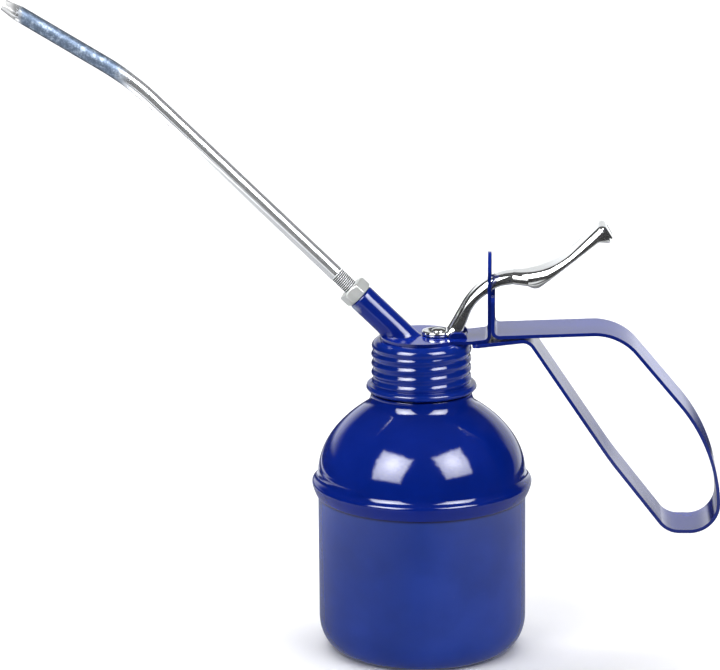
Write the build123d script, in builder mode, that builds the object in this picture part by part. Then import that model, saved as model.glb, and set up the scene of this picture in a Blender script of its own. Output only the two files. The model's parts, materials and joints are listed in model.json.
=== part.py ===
"""Thumb-lever pump oiler: a pressed steel can with a screw cap that carries the pump, spout and handle.

Frame: millimetres, +Z up, origin at the middle of the can's base, handle towards +X, spout towards -X.
"""
import os
from math import atan, cos, degrees, pi, radians, sin, sqrt

from build123d import *

os.makedirs("parts", exist_ok=True)

# ---------------------------------------------------------------- driving dimensions
# can
CAN_R = 42.5
CAN_WALL = 0.8
CORNER_A = 9.3
CORNER_B = 13.5
BASE_RING_R = 30.0
BASE_RECESS = 1.2
CUP_TOP_Z = 73.6
SEAM_Z = 65.4
BEAD_R = 45.0
BEAD_Z = 70.3
BEAD_TOP_Z = 75.4
DOME_A = 73.8
DOME_B = 42.7
DOME_Z = 73.6
SHOULDER_R = 44.28
SHOULDER_Z = 71.8
DOME_END_R = 23.47
COLLAR_FILLET = 6.0
COLLAR_TOP_Z = 108.0

# neck and screw cap
THREAD_PITCH = 3.83
CREST_Z = 112.4
NECK_BORE_R = 15.5
NECK_R = 18.3
NECK_TOP_Z = 128.2
CAP_TOP_Z = 130.2
CAP_WALL = 0.8
CAP_VALLEY_R = 19.75
CAP_CREST_R = 20.4
CAP_FLAT_R = 16.9
CAP_BOTTOM_Z = 108.6
FLANGE_R = 22.5

# bracket plate and handle strap
SHEET = 1.4
PLATE_R = 16.5
PLATE_W = 22.4
UPRIGHT_X = 27.1
UPRIGHT_TOP_Z = 166.2
STRAP_W = 25.0
STRAP_TOP_Z = 149.5
STRAP_END_X = 20.9
SLOT_W = 11.4
SLOT_BOTTOM_Z = 143.8
SLOT_TOP_Z = 158.8

# lever
PIVOT_X = 16.0
PIVOT_Z = 133.6
HEEL_R = 1.5
LEVER_SHEET = 1.5
ARM_HALF_W = 4.9
PAD_HALF_W = 8.2

# pump
PUMP_X = 7.0
BARREL_R = 7.0
BORE_R = 6.2
BARREL_TOP_Z = 121.4
BARREL_BOTTOM_Z = 90.0
ROD_R = 1.6
HEAD_R = 2.9
PISTON_Z = 97.0
PISTON_H = 11.0
SPRING_WIRE_R = 0.5
SPRING_MEAN_R = 3.7
FIT = 0.05

# spout
SPOUT_ANGLE = 44.3
SPOUT_AXIS_X = -6.87
SOCKET_R = 5.6
SOCKET_END = 24.9
TUBE_R = 3.175
TUBE_BORE_R = 2.3
NUT_AF = 11.1
NUT_H = 5.3
BEND_R = 110.0
SPOUT_RUN = 152.3
TIP_RUN = 58.8
TIP_ANGLE = 31.0
TIP_LENGTH = 6.6
TIP_R = 2.2

SOCKET_BASE = Vector(SPOUT_AXIS_X, 0, CAP_TOP_Z)
SPOUT_DIR = Vector(-cos(radians(SPOUT_ANGLE)), 0, sin(radians(SPOUT_ANGLE)))
TIP_DIR = Vector(-cos(radians(TIP_ANGLE)), 0, sin(radians(TIP_ANGLE)))


def ellipse_r(half_r, half_z, centre_r, centre_z, z):
    """Radius at height z on an ellipse that is centred at (centre_r, centre_z)."""
    return centre_r + half_r * sqrt(1 - ((z - centre_z) / half_z) ** 2)


def ellipse_z(half_r, half_z, centre_r, centre_z, r):
    """Height at radius r on the upper half of the same ellipse."""
    return centre_z + half_z * sqrt(1 - ((r - centre_r) / half_r) ** 2)


def helical_ridge(radius, start_z, turns, depth, half_width, mode=Mode.ADD):
    """Sweep a rounded bead along a right-hand helix that starts on the +X side."""
    root = -0.15
    lead = atan(THREAD_PITCH / (2 * pi * radius))
    start = Plane(origin=(radius, 0, start_z), x_dir=(1, 0, 0), z_dir=(0, cos(lead), sin(lead)))
    with BuildLine(mode=Mode.PRIVATE) as path:
        Helix(pitch=THREAD_PITCH, height=turns * THREAD_PITCH, radius=radius, center=(0, 0, start_z))
    with BuildSketch(start, mode=Mode.PRIVATE) as bead:
        with BuildLine():
            ThreePointArc((root, -half_width), (depth, 0), (root, half_width))
            Line((root, half_width), (root, -half_width))
        make_face()
    sweep(bead.sketch, path=path.line, is_frenet=True, mode=mode)


def vertical_bore(x, radius, bottom, top):
    """Cut a round vertical hole from bottom to top."""
    with BuildSketch(Plane.XY.offset(bottom), mode=Mode.PRIVATE) as hole:
        with Locations((x, 0)):
            Circle(radius)
    extrude(hole.sketch, amount=top - bottom, mode=Mode.SUBTRACT)


def vertical_disc(x, radius, bottom, top):
    """Add a round vertical disc from bottom to top."""
    with BuildSketch(Plane.XY.offset(bottom), mode=Mode.PRIVATE) as disc:
        with Locations((x, 0)):
            Circle(radius)
    extrude(disc.sketch, amount=top - bottom)


def spout_plane(distance):
    """Plane square to the spout's axis at a distance from the socket's base."""
    return Plane(origin=SOCKET_BASE + SPOUT_DIR * distance, x_dir=(0, 1, 0), z_dir=SPOUT_DIR)


# ---------------------------------------------------------------- can
inner_r = CAN_R - CAN_WALL
inner_a = CORNER_A - CAN_WALL
inner_b = CORNER_B - CAN_WALL
corner_r = CAN_R - CORNER_A
with BuildPart() as can_cup:
    with BuildSketch(Plane.XZ):
        with BuildLine():
            Polyline(
                (0, BASE_RECESS),
                (BASE_RING_R - BASE_RECESS, BASE_RECESS),
                (BASE_RING_R, 0),
                (corner_r, 0),
            )
            EllipticalCenterArc((corner_r, CORNER_B), CORNER_A, CORNER_B, start_angle=270, arc_size=90)
            Polyline((CAN_R, CORNER_B), (CAN_R, CUP_TOP_Z), (inner_r, CUP_TOP_Z), (inner_r, CORNER_B))
            EllipticalCenterArc((corner_r, CORNER_B), inner_a, inner_b, start_angle=270, arc_size=90)
            Polyline(
                (corner_r, CAN_WALL),
                (BASE_RING_R + 0.4, CAN_WALL),
                (BASE_RING_R - 0.8, CAN_WALL + BASE_RECESS),
                (0, CAN_WALL + BASE_RECESS),
                (0, BASE_RECESS),
            )
        make_face()
    revolve(axis=Axis.Z)
can_cup.part.label = "can_cup"

dome_centre_r = CAN_R + 0.1 - DOME_A
dome_in_a = DOME_A - CAN_WALL
dome_in_b = DOME_B - CAN_WALL
dome_foot_r = ellipse_r(DOME_A, DOME_B, dome_centre_r, DOME_Z, BEAD_TOP_Z)
dome_end_z = ellipse_z(DOME_A, DOME_B, dome_centre_r, DOME_Z, DOME_END_R)
inner_foot_r = ellipse_r(dome_in_a, dome_in_b, dome_centre_r, DOME_Z, BEAD_TOP_Z)
dome_lean = atan((dome_end_z - DOME_Z) / DOME_B**2 * DOME_A**2 / (DOME_END_R - dome_centre_r))
fillet_r = DOME_END_R + COLLAR_FILLET * cos(dome_lean)
fillet_z = dome_end_z + COLLAR_FILLET * sin(dome_lean)
collar_r = fillet_r - COLLAR_FILLET
inner_fillet = COLLAR_FILLET + CAN_WALL
inner_end_r = fillet_r - inner_fillet * cos(dome_lean)
inner_end_z = ellipse_z(dome_in_a, dome_in_b, dome_centre_r, DOME_Z, inner_end_r)


def ellipse_angle(half_r, half_z, r, z):
    """Parameter angle in degrees of a point on the dome's ellipse, measured as the arc object does."""
    return degrees(atan(((z - DOME_Z) / half_z) / ((r - dome_centre_r) / half_r)))


outer_foot_angle = ellipse_angle(DOME_A, DOME_B, dome_foot_r, BEAD_TOP_Z)
outer_neck_angle = ellipse_angle(DOME_A, DOME_B, DOME_END_R, dome_end_z)
inner_foot_angle = ellipse_angle(dome_in_a, dome_in_b, inner_foot_r, BEAD_TOP_Z)
inner_neck_angle = ellipse_angle(dome_in_a, dome_in_b, inner_end_r, inner_end_z)
half_lean = dome_lean / 2
bead_hollow = (SHOULDER_R - 1.11, SHOULDER_Z + 1.26)
bead_crown = (BEAD_R - 0.1, BEAD_Z + 0.68)
bead_widest = (BEAD_R, BEAD_Z - 0.1)
bead_belly = (BEAD_R - 0.5, SEAM_Z + 2.8)
bead_inside = (BEAD_R - 0.9, BEAD_Z - 0.7)
lap_r = CAN_R + 0.15
lap_low_z = CUP_TOP_Z - 0.4
lap_high_z = CUP_TOP_Z + 0.5
with BuildPart() as can_dome:
    with BuildSketch(Plane.XZ):
        with BuildLine():
            outer = EllipticalCenterArc(
                (dome_centre_r, DOME_Z),
                DOME_A,
                DOME_B,
                start_angle=outer_foot_angle,
                arc_size=outer_neck_angle - outer_foot_angle,
            )
            inner = EllipticalCenterArc(
                (dome_centre_r, DOME_Z),
                dome_in_a,
                dome_in_b,
                start_angle=inner_foot_angle,
                arc_size=inner_neck_angle - inner_foot_angle,
            )
            ThreePointArc(
                outer @ 1,
                (fillet_r - COLLAR_FILLET * cos(half_lean), fillet_z - COLLAR_FILLET * sin(half_lean)),
                (collar_r, fillet_z),
            )
            Polyline(
                (collar_r, fillet_z),
                (collar_r, COLLAR_TOP_Z),
                (collar_r - CAN_WALL, COLLAR_TOP_Z),
                (collar_r - CAN_WALL, fillet_z),
            )
            collar_in = ThreePointArc(
                (collar_r - CAN_WALL, fillet_z),
                (fillet_r - inner_fillet * cos(half_lean), fillet_z - inner_fillet * sin(half_lean)),
                (inner_end_r, fillet_z - inner_fillet * sin(dome_lean)),
            )
            Line(collar_in @ 1, inner @ 1)
            ThreePointArc(outer @ 0, bead_hollow, (SHOULDER_R, SHOULDER_Z))
            ThreePointArc((SHOULDER_R, SHOULDER_Z), bead_crown, bead_widest)
            ThreePointArc(bead_widest, bead_belly, (CAN_R + CAN_WALL, SEAM_Z))
            Polyline((CAN_R + CAN_WALL, SEAM_Z), (CAN_R, SEAM_Z), (CAN_R, SEAM_Z + 1))
            ThreePointArc((CAN_R, SEAM_Z + 1), bead_inside, (lap_r, lap_low_z))
            Polyline((lap_r, lap_low_z), (lap_r, lap_high_z), inner @ 0)
        make_face()
    revolve(axis=Axis.Z)
can_dome.part.label = "can_dome"

spigot_bottom_z = 101.5
spigot_r = collar_r - CAN_WALL - FIT
with BuildPart() as neck_ring:
    with BuildSketch(Plane.XZ):
        with BuildLine():
            Polyline(
                (NECK_BORE_R, spigot_bottom_z),
                (spigot_r, spigot_bottom_z),
                (spigot_r, COLLAR_TOP_Z - FIT),
                (NECK_R, COLLAR_TOP_Z - FIT),
                (NECK_R, NECK_TOP_Z - 0.6),
                (NECK_R - 0.6, NECK_TOP_Z),
                (NECK_BORE_R, NECK_TOP_Z),
                close=True,
            )
        make_face()
    revolve(axis=Axis.Z)
    helical_ridge(NECK_R, CREST_Z - THREAD_PITCH / 2, 3.0, 0.95, 1.0)
neck_ring.part.label = "neck_ring"

# ---------------------------------------------------------------- screw cap
skirt_in_r = CAP_VALLEY_R - CAP_WALL
shoulder_r = CAP_CREST_R - 0.1
shoulder_z = 127.0
top_inner_z = CAP_TOP_Z - CAP_WALL
inner_corner = 1.4
skirt_z = 112.4
flange_root_r = CAP_VALLEY_R + 1.2
flange_top_z = 111.6
flange_z = 110.3
with BuildPart() as screw_cap:
    with BuildSketch(Plane.XZ):
        with BuildLine():
            Line((0, CAP_TOP_Z), (CAP_FLAT_R, CAP_TOP_Z))
            EllipticalCenterArc(
                (CAP_FLAT_R, shoulder_z),
                shoulder_r - CAP_FLAT_R,
                CAP_TOP_Z - shoulder_z,
                start_angle=0,
                arc_size=90,
            )
            Polyline((shoulder_r, shoulder_z), (CAP_VALLEY_R, shoulder_z - 1.4), (CAP_VALLEY_R, skirt_z))
            ThreePointArc(
                (CAP_VALLEY_R, skirt_z),
                (CAP_VALLEY_R + 0.5, flange_top_z + 0.1),
                (flange_root_r, flange_top_z),
            )
            ThreePointArc(
                (flange_root_r, flange_top_z),
                (FLANGE_R, flange_z),
                (flange_root_r, CAP_BOTTOM_Z),
            )
            Polyline(
                (flange_root_r, CAP_BOTTOM_Z),
                (skirt_in_r, CAP_BOTTOM_Z),
                (skirt_in_r, top_inner_z - inner_corner),
            )
            ThreePointArc(
                (skirt_in_r, top_inner_z - inner_corner),
                (skirt_in_r - 0.41, top_inner_z - 0.41),
                (skirt_in_r - inner_corner, top_inner_z),
            )
            Polyline((skirt_in_r - inner_corner, top_inner_z), (0, top_inner_z), (0, CAP_TOP_Z))
        make_face()
    revolve(axis=Axis.Z)
    helical_ridge(CAP_VALLEY_R, CREST_Z - THREAD_PITCH / 2, 4.1, CAP_CREST_R - CAP_VALLEY_R, 1.5)
    helical_ridge(skirt_in_r, CREST_Z - 2.5 * THREAD_PITCH, 5.6, 0.65, 1.5, mode=Mode.SUBTRACT)
    vertical_bore(PUMP_X, ROD_R + 0.2, top_inner_z, CAP_TOP_Z)
    vertical_bore(SPOUT_AXIS_X + 0.4, 2.0, top_inner_z, CAP_TOP_Z)
screw_cap.part.label = "screw_cap"

with BuildPart() as cap_gasket:
    with BuildSketch(Plane.XY.offset(NECK_TOP_Z)):
        Circle(NECK_R - 1.0)
        Circle(NECK_BORE_R + 0.1, mode=Mode.SUBTRACT)
    extrude(amount=top_inner_z - NECK_TOP_Z)
cap_gasket.part.label = "cap_gasket"

# ---------------------------------------------------------------- bracket plate
half_sheet = SHEET / 2
tongue_start = 19.8
tongue_rise = 0.125
upright_mid_x = UPRIGHT_X + half_sheet
plate_mid_z = CAP_TOP_Z + half_sheet
tongue_end_z = plate_mid_z + tongue_rise * (upright_mid_x - tongue_start)
upright_arc_z = UPRIGHT_TOP_Z - PLATE_W / 2
with BuildPart() as top_plate:
    with BuildSketch(Plane.XZ):
        with BuildLine():
            FilletPolyline(
                (-PLATE_R, plate_mid_z),
                (tongue_start, plate_mid_z),
                (upright_mid_x, tongue_end_z),
                (upright_mid_x, UPRIGHT_TOP_Z),
                radius=[12.0, 2.4],
            )
            offset(amount=half_sheet, side=Side.BOTH)
        make_face()
    extrude(amount=PLATE_R, both=True)
    with BuildSketch(Plane.XY.offset(CAP_TOP_Z - 1)):
        Circle(PLATE_R)
        with Locations((UPRIGHT_X / 2 + 2, 0)):
            Rectangle(UPRIGHT_X + 4, PLATE_W)
    extrude(amount=UPRIGHT_TOP_Z, mode=Mode.INTERSECT)
    with BuildSketch(Plane.YZ.offset(-PLATE_R)):
        with Locations((0, CAP_TOP_Z)):
            Rectangle(2 * PLATE_R, 16)
        with Locations((0, (upright_arc_z + CAP_TOP_Z) / 2)):
            Rectangle(PLATE_W, upright_arc_z - CAP_TOP_Z)
        with Locations((0, upright_arc_z)):
            Circle(PLATE_W / 2)
    extrude(amount=PLATE_R + UPRIGHT_X + 2 * SHEET, mode=Mode.INTERSECT)
    with BuildSketch(Plane.YZ.offset(UPRIGHT_X - 1)):
        with Locations((0, (SLOT_BOTTOM_Z + SLOT_TOP_Z) / 2)):
            RectangleRounded(SLOT_W, SLOT_TOP_Z - SLOT_BOTTOM_Z, 1.2)
    extrude(amount=2 * SHEET, mode=Mode.SUBTRACT)
    vertical_bore(PUMP_X, ROD_R + 0.4, CAP_TOP_Z - 1, CAP_TOP_Z + 2 * SHEET)
    with BuildSketch(spout_plane(-12)):
        Circle(SOCKET_R + 0.3)
    extrude(amount=24, mode=Mode.SUBTRACT)
top_plate.part.label = "top_plate"

# ---------------------------------------------------------------- handle strap
strap_mid_x = UPRIGHT_X + SHEET + half_sheet
STRAP_PATH = [
    (strap_mid_x, STRAP_TOP_Z + SHEET),
    (strap_mid_x, 133.5),
    (80.2, 135.4),
    (119.6, 88.2),
    (121.5, 52.6),
    (100.2, 52.6),
    (76.8, 82.7),
    (43.7, 132.24),
    (STRAP_END_X - SHEET, 129.42),
]
STRAP_RADII = [2.7, 22.0, 68.5, 11.8, 10.0, 147.0, 5.0]
with BuildPart() as handle_strap:
    with BuildSketch(Plane.XZ):
        with BuildLine():
            FilletPolyline(*STRAP_PATH, radius=STRAP_RADII)
            offset(amount=half_sheet, side=Side.BOTH)
        make_face()
    extrude(amount=STRAP_W / 2, both=True)
    split(bisect_by=Plane.YZ.offset(STRAP_END_X), keep=Keep.TOP)
    split(bisect_by=Plane.XY.offset(STRAP_TOP_Z), keep=Keep.BOTTOM)
    with BuildSketch(Plane.YZ.offset(UPRIGHT_X)):
        with Locations((0, STRAP_TOP_Z)):
            Rectangle(SLOT_W, 2 * (STRAP_TOP_Z - SLOT_BOTTOM_Z))
    extrude(amount=3 * SHEET, mode=Mode.SUBTRACT)
    end_corners = [
        edge
        for edge in handle_strap.edges()
        if edge.length < SHEET + 0.1
        and abs(edge.center().Y) > STRAP_W / 2 - 0.1
        and (edge.center().X < STRAP_END_X + 0.1 or edge.center().Z > STRAP_TOP_Z - 0.1)
    ]
    fillet(end_corners, radius=2.5)
handle_strap.part.label = "handle_strap"

# ---------------------------------------------------------------- fulcrum block
plate_top_z = CAP_TOP_Z + SHEET
ear_half_w = 6.6
ear_gap_half_w = 5.15
ear_top_z = 133.9
saddle_x = 13.4
saddle_z = 133.0
gap_top_z = 135.0
with BuildPart() as fulcrum_block:
    with BuildSketch(Plane.XZ):
        with BuildLine():
            Polyline(
                (11.3, plate_top_z),
                (12.2, ear_top_z),
                (18.0, ear_top_z),
                (18.8, plate_top_z),
                close=True,
            )
        make_face()
    extrude(amount=ear_half_w, both=True)
    with BuildSketch(Plane.XZ):
        with BuildLine():
            Polyline(
                (10.0, plate_top_z - 1),
                (10.0, gap_top_z),
                (20.0, gap_top_z),
                (20.0, saddle_z),
                (saddle_x, saddle_z),
                (saddle_x, plate_top_z - 1),
                close=True,
            )
        make_face()
    extrude(amount=ear_gap_half_w, both=True, mode=Mode.SUBTRACT)
    with BuildSketch(Plane.XZ):
        with Locations((PIVOT_X, PIVOT_Z)):
            Circle(HEEL_R + FIT)
    extrude(amount=ear_gap_half_w, both=True, mode=Mode.SUBTRACT)
fulcrum_block.part.label = "fulcrum_block"

# ---------------------------------------------------------------- lever
foot_bottom_z = plate_top_z + 0.1
foot_top_z = foot_bottom_z + 2.0
foot_x = 6.4
foot_r = 6.2
dish_r = 4.1
dish_z = foot_bottom_z + 1.2
hollow_start_x = 21.0
hollow_start_z = 154.0
hollow_floor_z = 125.0
arm_height = 60.0
LEVER_TOP = [
    (8.0, foot_top_z),
    (10.4, foot_top_z),
    (19.2, 149.5),
    (31.1, 159.0),
    (51.0, 157.6),
    (73.3, 179.6),
    (77.2, 173.0),
]
LEVER_TOP_RADII = [4.0, 29.0, 23.0, 32.0, 2.4]
LEVER_UNDER = [
    (75.4, 171.6),
    (71.6, 171.8),
    (46.5, 151.8),
    (40.9, 154.4),
    (31.3, 153.0),
    (21.4, 145.9),
    (17.5, 135.2),
]
LEVER_UNDER_RADII = [1.5, 4.0, 4.0, 10.0, 17.0]
PLAN_START_X = 1.0
PLAN_END_X = 78.5
NOSE_HALF_W = 5.0
LEVER_PLAN = [
    (PLAN_START_X, ARM_HALF_W),
    (39.0, ARM_HALF_W),
    (51.0, PAD_HALF_W),
    (72.0, 7.6),
    (PLAN_END_X, NOSE_HALF_W),
]
LEVER_PLAN_RADII = [16.0, 16.0, 3.0]


def lever_top_line(inset=0.0):
    """Line of the lever's upper face in side view, from foot to nose, moved to its right by inset."""
    corners = [Vector(x, z) for x, z in LEVER_TOP]
    runs = [(end - start).normalized() for start, end in zip(corners, corners[1:])]
    sides = [Vector(run.Y, -run.X) for run in runs]
    moved = [corners[0] + sides[0] * inset]
    radii = []
    for corner, before, after, radius in zip(corners[1:], sides, sides[1:], LEVER_TOP_RADII):
        moved.append(corner + (before + after) * (inset / (1 + before.dot(after))))
        turns_left = before.cross(after).Z > 0
        radii.append(radius + inset if turns_left else radius - inset)
    moved.append(corners[-1] + sides[-1] * inset)
    return FilletPolyline(*moved, radius=radii)


def lever_plan(inset):
    """Plan outline of the lever's arm and thumb pad, drawn in by inset."""
    with BuildSketch(Plane.XY.offset(PIVOT_Z - 5), mode=Mode.PRIVATE) as plan:
        with BuildLine():
            FilletPolyline(*[(x, y - inset) for x, y in LEVER_PLAN], radius=LEVER_PLAN_RADII)
            Polyline(
                (PLAN_END_X, NOSE_HALF_W - inset),
                (PLAN_END_X, 0),
                (PLAN_START_X, 0),
                (PLAN_START_X, ARM_HALF_W - inset),
            )
        make_face()
        mirror(about=Plane.XZ)
    return plan.sketch


with BuildPart(mode=Mode.PRIVATE) as lever_hollow:
    with BuildSketch(Plane.XZ):
        with BuildLine():
            web = lever_top_line(LEVER_SHEET)
            Polyline(web @ 1, (76.0, hollow_floor_z), (8.0, hollow_floor_z), web @ 0)
        make_face()
        with Locations((hollow_start_x, hollow_start_z)):
            Rectangle(26.0, 30.0, align=(Align.MAX, Align.MAX), mode=Mode.SUBTRACT)
    extrude(amount=PAD_HALF_W, both=True)
    extrude(lever_plan(LEVER_SHEET), amount=arm_height, mode=Mode.INTERSECT)

with BuildPart() as lever:
    with BuildSketch(Plane.XZ):
        with BuildLine():
            lever_top_line()
            Line(LEVER_TOP[-1], LEVER_UNDER[0])
            FilletPolyline(*LEVER_UNDER, radius=LEVER_UNDER_RADII)
            Line(LEVER_UNDER[-1], (PIVOT_X + HEEL_R, PIVOT_Z))
            ThreePointArc(
                (PIVOT_X + HEEL_R, PIVOT_Z),
                (PIVOT_X, PIVOT_Z - HEEL_R),
                (PIVOT_X - HEEL_R, PIVOT_Z),
            )
            Polyline(
                (PIVOT_X - HEEL_R, PIVOT_Z),
                (12.9, PIVOT_Z),
                (11.4, foot_bottom_z),
                (8.0, foot_bottom_z),
                LEVER_TOP[0],
            )
        make_face()
    extrude(amount=PAD_HALF_W, both=True)
    extrude(lever_plan(0), amount=arm_height, mode=Mode.INTERSECT)
    add(lever_hollow.part, mode=Mode.SUBTRACT)
    vertical_disc(foot_x, foot_r, foot_bottom_z, foot_top_z)
    vertical_bore(PUMP_X, dish_r, dish_z, foot_top_z + 4)
    with BuildSketch(Plane.XY.offset(foot_bottom_z - 1)):
        with Locations((PUMP_X - 0.9, 0)):
            SlotCenterToCenter(2.4, 2 * ROD_R + 0.8)
    extrude(amount=4, mode=Mode.SUBTRACT)
lever.part.label = "lever"

# ---------------------------------------------------------------- spout
def spout_disc(radius, start, end, mode=Mode.ADD):
    """Round bar or bore along the spout's axis."""
    with BuildSketch(spout_plane(start), mode=Mode.PRIVATE) as disc:
        Circle(radius)
    extrude(disc.sketch, amount=end - start, mode=mode)


socket_thread_start = 11.0
socket_bore_r = 2.0
below_cap = -10.0
with BuildPart() as spout_socket:
    spout_disc(SOCKET_R, below_cap, SOCKET_END)
    split(bisect_by=Plane.XY.offset(CAP_TOP_Z), keep=Keep.TOP)
    spout_disc(socket_bore_r, below_cap, SOCKET_END, mode=Mode.SUBTRACT)
    spout_disc(TUBE_R + FIT, socket_thread_start, SOCKET_END + 1, mode=Mode.SUBTRACT)
    chamfer(spout_socket.edges().sort_by(Axis.Z)[-1], length=0.4)
spout_socket.part.label = "spout_socket"

nut_start = SOCKET_END + 0.1
with BuildPart() as lock_nut:
    with BuildSketch(spout_plane(nut_start)):
        RegularPolygon(NUT_AF / 2, 6, major_radius=False, rotation=30)
        Circle(TUBE_R + FIT, mode=Mode.SUBTRACT)
    extrude(amount=NUT_H)
    with BuildSketch(spout_plane(nut_start)):
        Circle(NUT_AF / 2 + 0.15)
    extrude(amount=NUT_H, taper=-30, mode=Mode.INTERSECT)
lock_nut.part.label = "lock_nut"

tube_start = socket_thread_start + 0.5
bend_point = SOCKET_BASE + SPOUT_DIR * SPOUT_RUN
tip_start = bend_point + TIP_DIR * (TIP_RUN - TIP_LENGTH)
tip_bore_r = 1.4
with BuildPart() as spout_tube:
    with BuildLine() as spout_line:
        FilletPolyline(SOCKET_BASE + SPOUT_DIR * tube_start, bend_point, tip_start, radius=BEND_R)
    with BuildSketch(spout_plane(tube_start)):
        Circle(TUBE_R)
        Circle(TUBE_BORE_R, mode=Mode.SUBTRACT)
    sweep(path=spout_line.line)
    with BuildSketch(Plane(origin=tip_start, x_dir=(0, 1, 0), z_dir=TIP_DIR)):
        Circle(TUBE_R)
    with BuildSketch(Plane(origin=tip_start + TIP_DIR * TIP_LENGTH, x_dir=(0, 1, 0), z_dir=TIP_DIR)):
        Circle(TIP_R)
    loft()
    with BuildSketch(Plane(origin=tip_start, x_dir=(0, 1, 0), z_dir=TIP_DIR)):
        Circle(tip_bore_r)
    extrude(amount=TIP_LENGTH, mode=Mode.SUBTRACT)
spout_tube.part.label = "spout_tube"

# ---------------------------------------------------------------- pump
head_bottom_z = 118.4
packing_r = 3.4
packing_z = 126.0
port_r = 1.2
port_z = 124.0
port_x = PUMP_X - 4.2
elbow_left = -11.0
elbow_bottom = 120.6
elbow_half_w = 4.5
with BuildPart() as pump_head:
    vertical_disc(PUMP_X, BARREL_R, BARREL_TOP_Z, top_inner_z)
    vertical_disc(PUMP_X, BORE_R - FIT, head_bottom_z, BARREL_TOP_Z)
    vertical_bore(PUMP_X, ROD_R + FIT, head_bottom_z - 1, top_inner_z + 1)
    vertical_bore(PUMP_X, packing_r, packing_z, top_inner_z + 1)
    vertical_bore(port_x, port_r, head_bottom_z - 1, port_z)
    with BuildSketch(Plane.YZ.offset(port_x)):
        with Locations((0, port_z)):
            Circle(port_r)
    extrude(amount=-10, mode=Mode.SUBTRACT)
pump_head.part.label = "pump_head"

with BuildPart() as delivery_elbow:
    with BuildSketch(Plane.XZ):
        with Locations(((elbow_left + PUMP_X) / 2, (elbow_bottom + top_inner_z) / 2)):
            RectangleRounded(PUMP_X - elbow_left, top_inner_z - elbow_bottom, 1.5)
    extrude(amount=elbow_half_w, both=True)
    vertical_bore(PUMP_X, BARREL_R, elbow_bottom - 1, top_inner_z + 1)
    vertical_bore(SPOUT_AXIS_X + 0.4, 2.0, port_z, top_inner_z + 1)
    with BuildSketch(Plane.YZ.offset(SPOUT_AXIS_X)):
        with Locations((0, port_z)):
            Circle(port_r)
    extrude(amount=PUMP_X - SPOUT_AXIS_X, mode=Mode.SUBTRACT)
delivery_elbow.part.label = "delivery_elbow"

with BuildPart() as rod_packing:
    vertical_disc(PUMP_X, packing_r, packing_z, top_inner_z)
    vertical_bore(PUMP_X, ROD_R + FIT, packing_z - 1, top_inner_z + 1)
rod_packing.part.label = "rod_packing"

with BuildPart() as pump_barrel:
    vertical_disc(PUMP_X, BARREL_R, BARREL_BOTTOM_Z, BARREL_TOP_Z)
    vertical_bore(PUMP_X, BORE_R, BARREL_BOTTOM_Z - 1, BARREL_TOP_Z + 1)
pump_barrel.part.label = "pump_barrel"

piston_top_z = PISTON_Z + PISTON_H
seat_top_z = PISTON_Z + 2.5
ball_r = 2.0
chamber_r = 2.5
chamber_top_z = seat_top_z + 4.6
seat_r = 3.5
seat_bore_r = 1.3
rod_socket_z = piston_top_z - 3.0
groove_z = PISTON_Z + 7.0
groove_h = 2.0
groove_r = 5.0
vent_r = 0.8
vent_ring_r = 2.9
with BuildPart() as piston:
    vertical_disc(PUMP_X, BORE_R - 0.2, PISTON_Z, piston_top_z)
    vertical_bore(PUMP_X, ROD_R, rod_socket_z, piston_top_z + 1)
    vertical_bore(PUMP_X, seat_r, PISTON_Z - 1, seat_top_z)
    vertical_bore(PUMP_X, chamber_r, seat_top_z - 1, chamber_top_z)
    with BuildSketch(Plane.XY.offset(chamber_top_z - 1.4)):
        with Locations((PUMP_X, 0)):
            with PolarLocations(vent_ring_r, 4, start_angle=45):
                Circle(vent_r)
    extrude(amount=PISTON_H, mode=Mode.SUBTRACT)
    with BuildSketch(Plane.XY.offset(groove_z)):
        with Locations((PUMP_X, 0)):
            Circle(BORE_R)
            Circle(groove_r, mode=Mode.SUBTRACT)
    extrude(amount=groove_h, mode=Mode.SUBTRACT)
piston.part.label = "piston"

with BuildPart() as piston_seal:
    with BuildSketch(Plane.XY.offset(groove_z)):
        with Locations((PUMP_X, 0)):
            Circle(BORE_R - FIT)
            Circle(groove_r, mode=Mode.SUBTRACT)
    extrude(amount=groove_h)
piston_seal.part.label = "piston_seal"


def ball_rest_z(bore_r, radius):
    """Height of a ball's middle above the edge of the round bore that it rests on."""
    return sqrt(radius**2 - bore_r**2)


with BuildPart() as piston_valve_seat:
    vertical_disc(PUMP_X, seat_r, PISTON_Z, seat_top_z)
    vertical_bore(PUMP_X, seat_bore_r, PISTON_Z - 1, seat_top_z + 1)
piston_valve_seat.part.label = "piston_valve_seat"

piston_ball_z = seat_top_z + ball_rest_z(seat_bore_r, ball_r) + 0.02
with BuildPart() as piston_ball:
    with Locations((PUMP_X, 0, piston_ball_z)):
        Sphere(ball_r)
piston_ball.part.label = "piston_ball"

rod_top_z = dish_z + 0.1
with BuildPart() as piston_rod:
    with BuildSketch(Plane.XZ):
        with BuildLine():
            Polyline(
                (PUMP_X, rod_socket_z),
                (PUMP_X + ROD_R, rod_socket_z),
                (PUMP_X + ROD_R, rod_top_z),
                (PUMP_X + HEAD_R, rod_top_z),
                (PUMP_X + HEAD_R, rod_top_z + 0.7),
            )
            ThreePointArc(
                (PUMP_X + HEAD_R, rod_top_z + 0.7),
                (PUMP_X + HEAD_R * 0.6, rod_top_z + 1.25),
                (PUMP_X + HEAD_R * 0.2, rod_top_z + 1.5),
            )
            Polyline(
                (PUMP_X + HEAD_R * 0.2, rod_top_z + 1.5),
                (PUMP_X, rod_top_z + 1.5),
                (PUMP_X, rod_socket_z),
            )
        make_face()
    revolve(axis=Axis((PUMP_X, 0, 0), (0, 0, 1)))
piston_rod.part.label = "piston_rod"

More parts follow.
